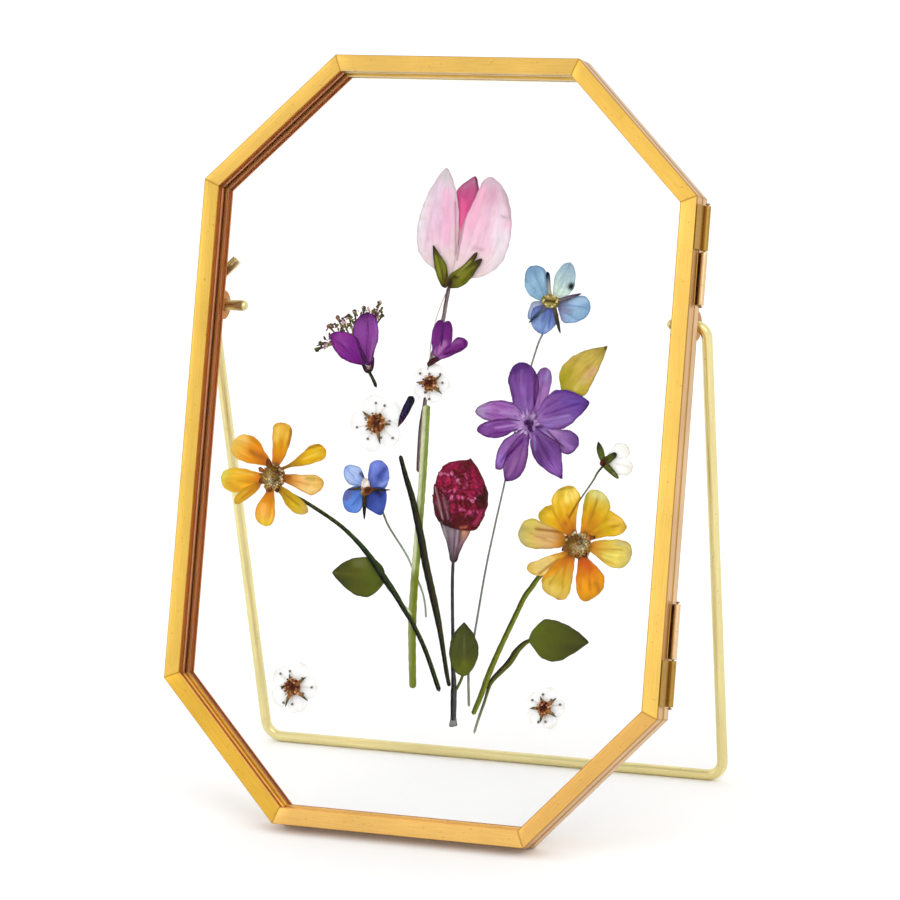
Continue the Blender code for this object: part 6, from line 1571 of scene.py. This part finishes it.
route = [(47.9, 97.9), (46.2, 95.8), (45.3, 94), (44, 91.8), (42.4, 89.3), (40.5, 86), (38.9, 82.5)]
lay(
    "white_bud_hair_stem", [stalk(route, (0.6, 0.45, 0.4), BACK, "#4E5A38 #6E7A5C #8C9484", thick=0.28)], stem_skin,
    "white_bud_stem",
)

# ---------------- the right yellow bloom, its stem and leaf
# Ten crumpled petals from pale cream to burnt orange, thin enough for the stem behind to show. Its
# green stem and a leaf on a bent stalk reach the foot of the bunch.

petals = [
    petal(
        (41.5, 79), (31.6, 84.6), (0.6, 0.9, 1.5, 1.8, 1.3), (1.2, 2.5, 4.5, 4, 2.4), NEAR - 0.24,
        "#8A4A04 #C07000 #D89412 #E0B020 #D8AE30 #B89828",
        [(34.6, 87, 36.8, 88.4, 1.1, "#B09226", 0.8), (34, 84, 37, 84.6, 0.9, "#EBC038", 0.7)], gold_rim,
        grid=(44, 48),
    ),
    petal(
        (42, 78.5), (38.5, 91.8), (1.2, 3, 4.5, 4.8, 3.2), (0.6, 0.8, 1.7, 3.1, 2.1), NEAR - 0.18,
        "#9A5200 #C87A04 #DC9C18 #EAB834 #F4CC50 #D8B848", [
            (39, 88.6, 41.2, 90, 1.7, "#FCDE6E", 0.9), (36, 86, 37.6, 89.4, 1.2, "#E0B428", 0.7),
            (37.8, 80.6, 39, 82.4, 1.5, "#BC6C00", 0.85), (42.4, 88.8, 39.2, 82.6, 0.5, "#743C00", 0.85),
            (36, 90.6, 40.6, 91.6, 0.6, "#A89026", 0.75),
        ], gold_rim, grid=(50, 54),
    ),
    petal(
        (41, 77.6), (26.4, 79), (0.9, 2.1, 2.9, 3.2, 2.1), (0.8, 2.3, 3.3, 4.3, 3.2), NEAR - 0.12,
        "#8A480A #C08030 #D8AC70 #D4B468 #CEBA60 #C0B070", [
            (28.4, 82, 30.4, 82.6, 1.6, "#D6C25E", 0.85), (31, 78.4, 35, 78.6, 1.3, "#DAAA70", 0.85),
            (27.6, 77, 28.6, 76.2, 1.3, "#BCAC70", 0.8), (31, 80.4, 38, 80, 0.5, "#8E480A", 0.85),
            (29.6, 79.2, 36, 77.2, 0.35, "#B08440", 0.6), (33, 82.6, 36.4, 81.4, 0.7, "#DCBC58", 0.6),
        ], ("#8E7430", 0.34, 0.7), grid=(50, 54),
    ),
    petal(
        (41.5, 75.4), (29.6, 70), (0.8, 1.5, 3, 3, 1.6), (0.6, 0.9, 1.2, 1.2, 1.2), NEAR - 0.06,
        "#9A5408 #CC8A20 #E8C060 #F0D080 #EACB74 #D0AC50", [
            (33, 69.2, 38, 73.2, 0.6, "#9E5E10", 0.85), (32.6, 73.2, 36, 74.8, 0.9, "#F6DC98", 0.7),
            (36.4, 74, 39, 75, 0.5, "#C88838", 0.6),
        ], gold_rim, grid=(44, 46),
    ),
    petal(
        (41.5, 75), (34, 66.6), (0.5, 0.9, 0.9, 0.9, 0.6), (0.6, 1, 1.5, 1.3, 0.9), NEAR,
        "#9A4A08 #C87414 #DA8C20 #E09A30 #CC8A28", [(35, 68, 36.6, 69.6, 0.7, "#F0A838", 0.6)], gold_rim,
    ),
    petal(
        (42, 74.8), (38.5, 63), (0.6, 1.2, 1.9, 2.4, 2), (0.6, 1.6, 3, 5.4, 4.4), NEAR + 0.05,
        "#B05A10 #D88030 #DCA038 #D8B040 #DCBA50 #CCA850", [
            (37.6, 73.6, 39.2, 71.8, 1, "#DC8030", 0.8), (42, 69, 42.4, 65, 0.8, "#C89A50", 0.75),
            (36.4, 66, 38, 64.4, 1.6, "#E8CC68", 0.7), (40, 72, 39.4, 66, 0.4, "#A8741C", 0.7),
            (38.2, 70, 36, 66.6, 0.4, "#B88828", 0.6),
        ], gold_rim, ragged=0.08, grid=(50, 52),
    ),
    petal(
        (43.4, 74.6), (46.2, 63), (1.8, 3.6, 5.6, 5.4, 3), (0.4, 0.9, 1.8, 2, 1.4), NEAR + 0.12,
        "#9A4404 #CC6408 #DC7E0C #E8940C #E49A1C #C88818", [
            (44.6, 73.6, 46.6, 71.4, 1.4, "#CC5C04", 0.85), (45, 68, 46.6, 65.4, 1.5, "#F0A01C", 0.85),
            (48.4, 67.6, 49.6, 66, 1.2, "#B87000", 0.8), (46.4, 72, 47.2, 66, 0.4, "#B46404", 0.75),
            (44.6, 71, 44.4, 66, 0.4, "#C27808", 0.6), (49, 70.6, 50.4, 69, 0.8, "#E0A030", 0.6),
        ], ("#946010", 0.36, 0.75), ragged=0.07, grid=(50, 52),
    ),
    petal(
        (45, 76.3), (57.6, 76.1), (1.2, 2.3, 2.7, 2.9, 2), (0.5, 1.8, 3.8, 4.3, 2.9), NEAR + 0.18,
        "#A05A14 #D49438 #DEB448 #E6CC5C #DCC664 #C8B470", [
            (50.6, 74.6, 55, 74.8, 1.6, "#ECDA68", 0.85), (53.6, 78.2, 55.6, 78.2, 1.1, "#C6B678", 0.8),
            (48, 76.2, 55, 76.6, 0.4, "#B08C34", 0.7), (48, 74.6, 53, 72.8, 0.4, "#C09A38", 0.6),
        ], ("#9A8838", 0.34, 0.7), grid=(48, 50),
    ),
    petal(
        (44.4, 78.2), (55.6, 82.6), (1.6, 3.2, 6.3, 5, 2.3), (0.5, 0.6, 0.9, 1.6, 1), NEAR + 0.22,
        "#A05A04 #CC8A0C #D8A818 #D8B020 #E8BC40 #CCA63C", [
            (51.4, 83.4, 54, 84.2, 1.5, "#F2C250", 0.85), (48, 84, 50.4, 86, 1.3, "#D2AA20", 0.7),
            (47, 80, 53.6, 82.8, 0.4, "#A87808", 0.75), (48, 81.6, 52, 85.4, 0.4, "#BC8C14", 0.6),
            (46.4, 79.6, 49, 80.6, 0.8, "#C07A08", 0.6),
        ], gold_rim, ragged=0.07, grid=(50, 52),
    ),
    petal(
        (43.6, 78.4), (47, 91.2), (0.5, 1.1, 1.9, 2.5, 2), (0.9, 2.6, 4.5, 4.8, 3.2), NEAR + 0.26,
        "#9A5400 #CC8400 #D6980C #D8A820 #D8BC50 #D2CC7A", [
            (46.6, 90, 49.6, 89.8, 1.6, "#DAD484", 0.85), (46, 83, 46.6, 85, 1.3, "#CC8400", 0.75),
            (44, 86, 44.6, 90.4, 0.6, "#A0922C", 0.8), (45.4, 82, 47.4, 89, 0.4, "#A87808", 0.75),
            (48, 84, 50, 87, 0.9, "#E6B83C", 0.6),
        ], ("#94842C", 0.34, 0.75), ragged=0.07, grid=(50, 52),
    ),
    disc(43.3, 76.8, 3.2, NEAR + 0.02, "#A8641C #B8701C #A8601C"),
]
lay("yellow_right_ten", petals, waxy_petal, "yellow_right_petals")
lumps = [
    (39.6, 75.9, 0.7, "#94603C"), (42, 79.9, 0.7, "#8A5C2C"), (45, 75, 0.8, "#6A3A14"), (46, 79, 0.6, "#D88850"),
    (47, 79.1, 0.5, "#9A6030"), (43.2, 74.2, 0.7, "#7A481C"), (42, 78.3, 0.7, "#5A4418"),
    (40.2, 78.6, 0.6, "#7A4A18"),
]
heart = withered_heart(43.1, 77, 3.1, lumps, "#9A8A60 #C0B494 #A8A080 #8A7848", 1.7, 80)
lay("yellow_right_heart", heart, dry_centre, "yellow_right_centre")
route = [
    (37.4, 72.4), (33, 68.6), (31, 65.7), (29.2, 63), (27.3, 58.5), (25, 53), (23, 48), (21, 42.5), (19.5, 37.5),
    (17.6, 32.2),
]
green = stalk(
    route, (1.1, 1.4, 1.4, 1.45, 1.6, 1.3), MID, "#5A601C #5C641C #565C18 #5E661C #6C7628 #5E681E",
    # painted shade: this stem's half towards the light is lighter, the other darker
    sides=("#868C38", "#3C4212", 0.55),
)
lay("yellow_right_green_stem", [green], stem_skin, "yellow_right_stem")
bent_stalk = [
    (32.2, 52.3), (30.3, 51.6), (28, 49.3), (26, 46), (22, 41.5), (21, 39), (20.3, 36), (19, 31.5), (18, 27.4),
]
leaf = [
    petal(
        (31, 52.3), (47.3, 52.8), (2.6, 5.3, 4.9, 3.2, 1.1), (1.7, 4.6, 5.1, 3, 0.9), BACK + 0.05,
        "#5A6210 #5A6012 #545812 #4E5216 #4A4C16 #3A3C12", [
            (31.6, 54, 34, 55.4, 1.5, "#606C0E", 0.75), (37, 55, 40, 55.4, 1.6, "#545A18", 0.6),
            (41, 51, 44, 51.6, 1.3, "#3E4212", 0.6), (35, 49.4, 38, 48.6, 1.2, "#586016", 0.6),
        ], ("#242C0C", 0.36, 0.85), (1.8, 0.62, "#727A40", 0.4), grid=(84, 84),
    ),
    stalk(
        bent_stalk, (0.9, 1.4, 1.8, 1.3, 0.85, 0.75, 0.6), BACK - 0.02,
        # painted shade: this stalk's half towards the light is lighter, the other darker
        "#4E521C #424620 #3A3A20 #3E3A26 #7A7A6C #B0B0A4", sides=("#6E7430", "#30281A", 0.55),
    ),
]
lay("yellow_right_veined_leaf", leaf, leaf_skin, "yellow_right_leaf")
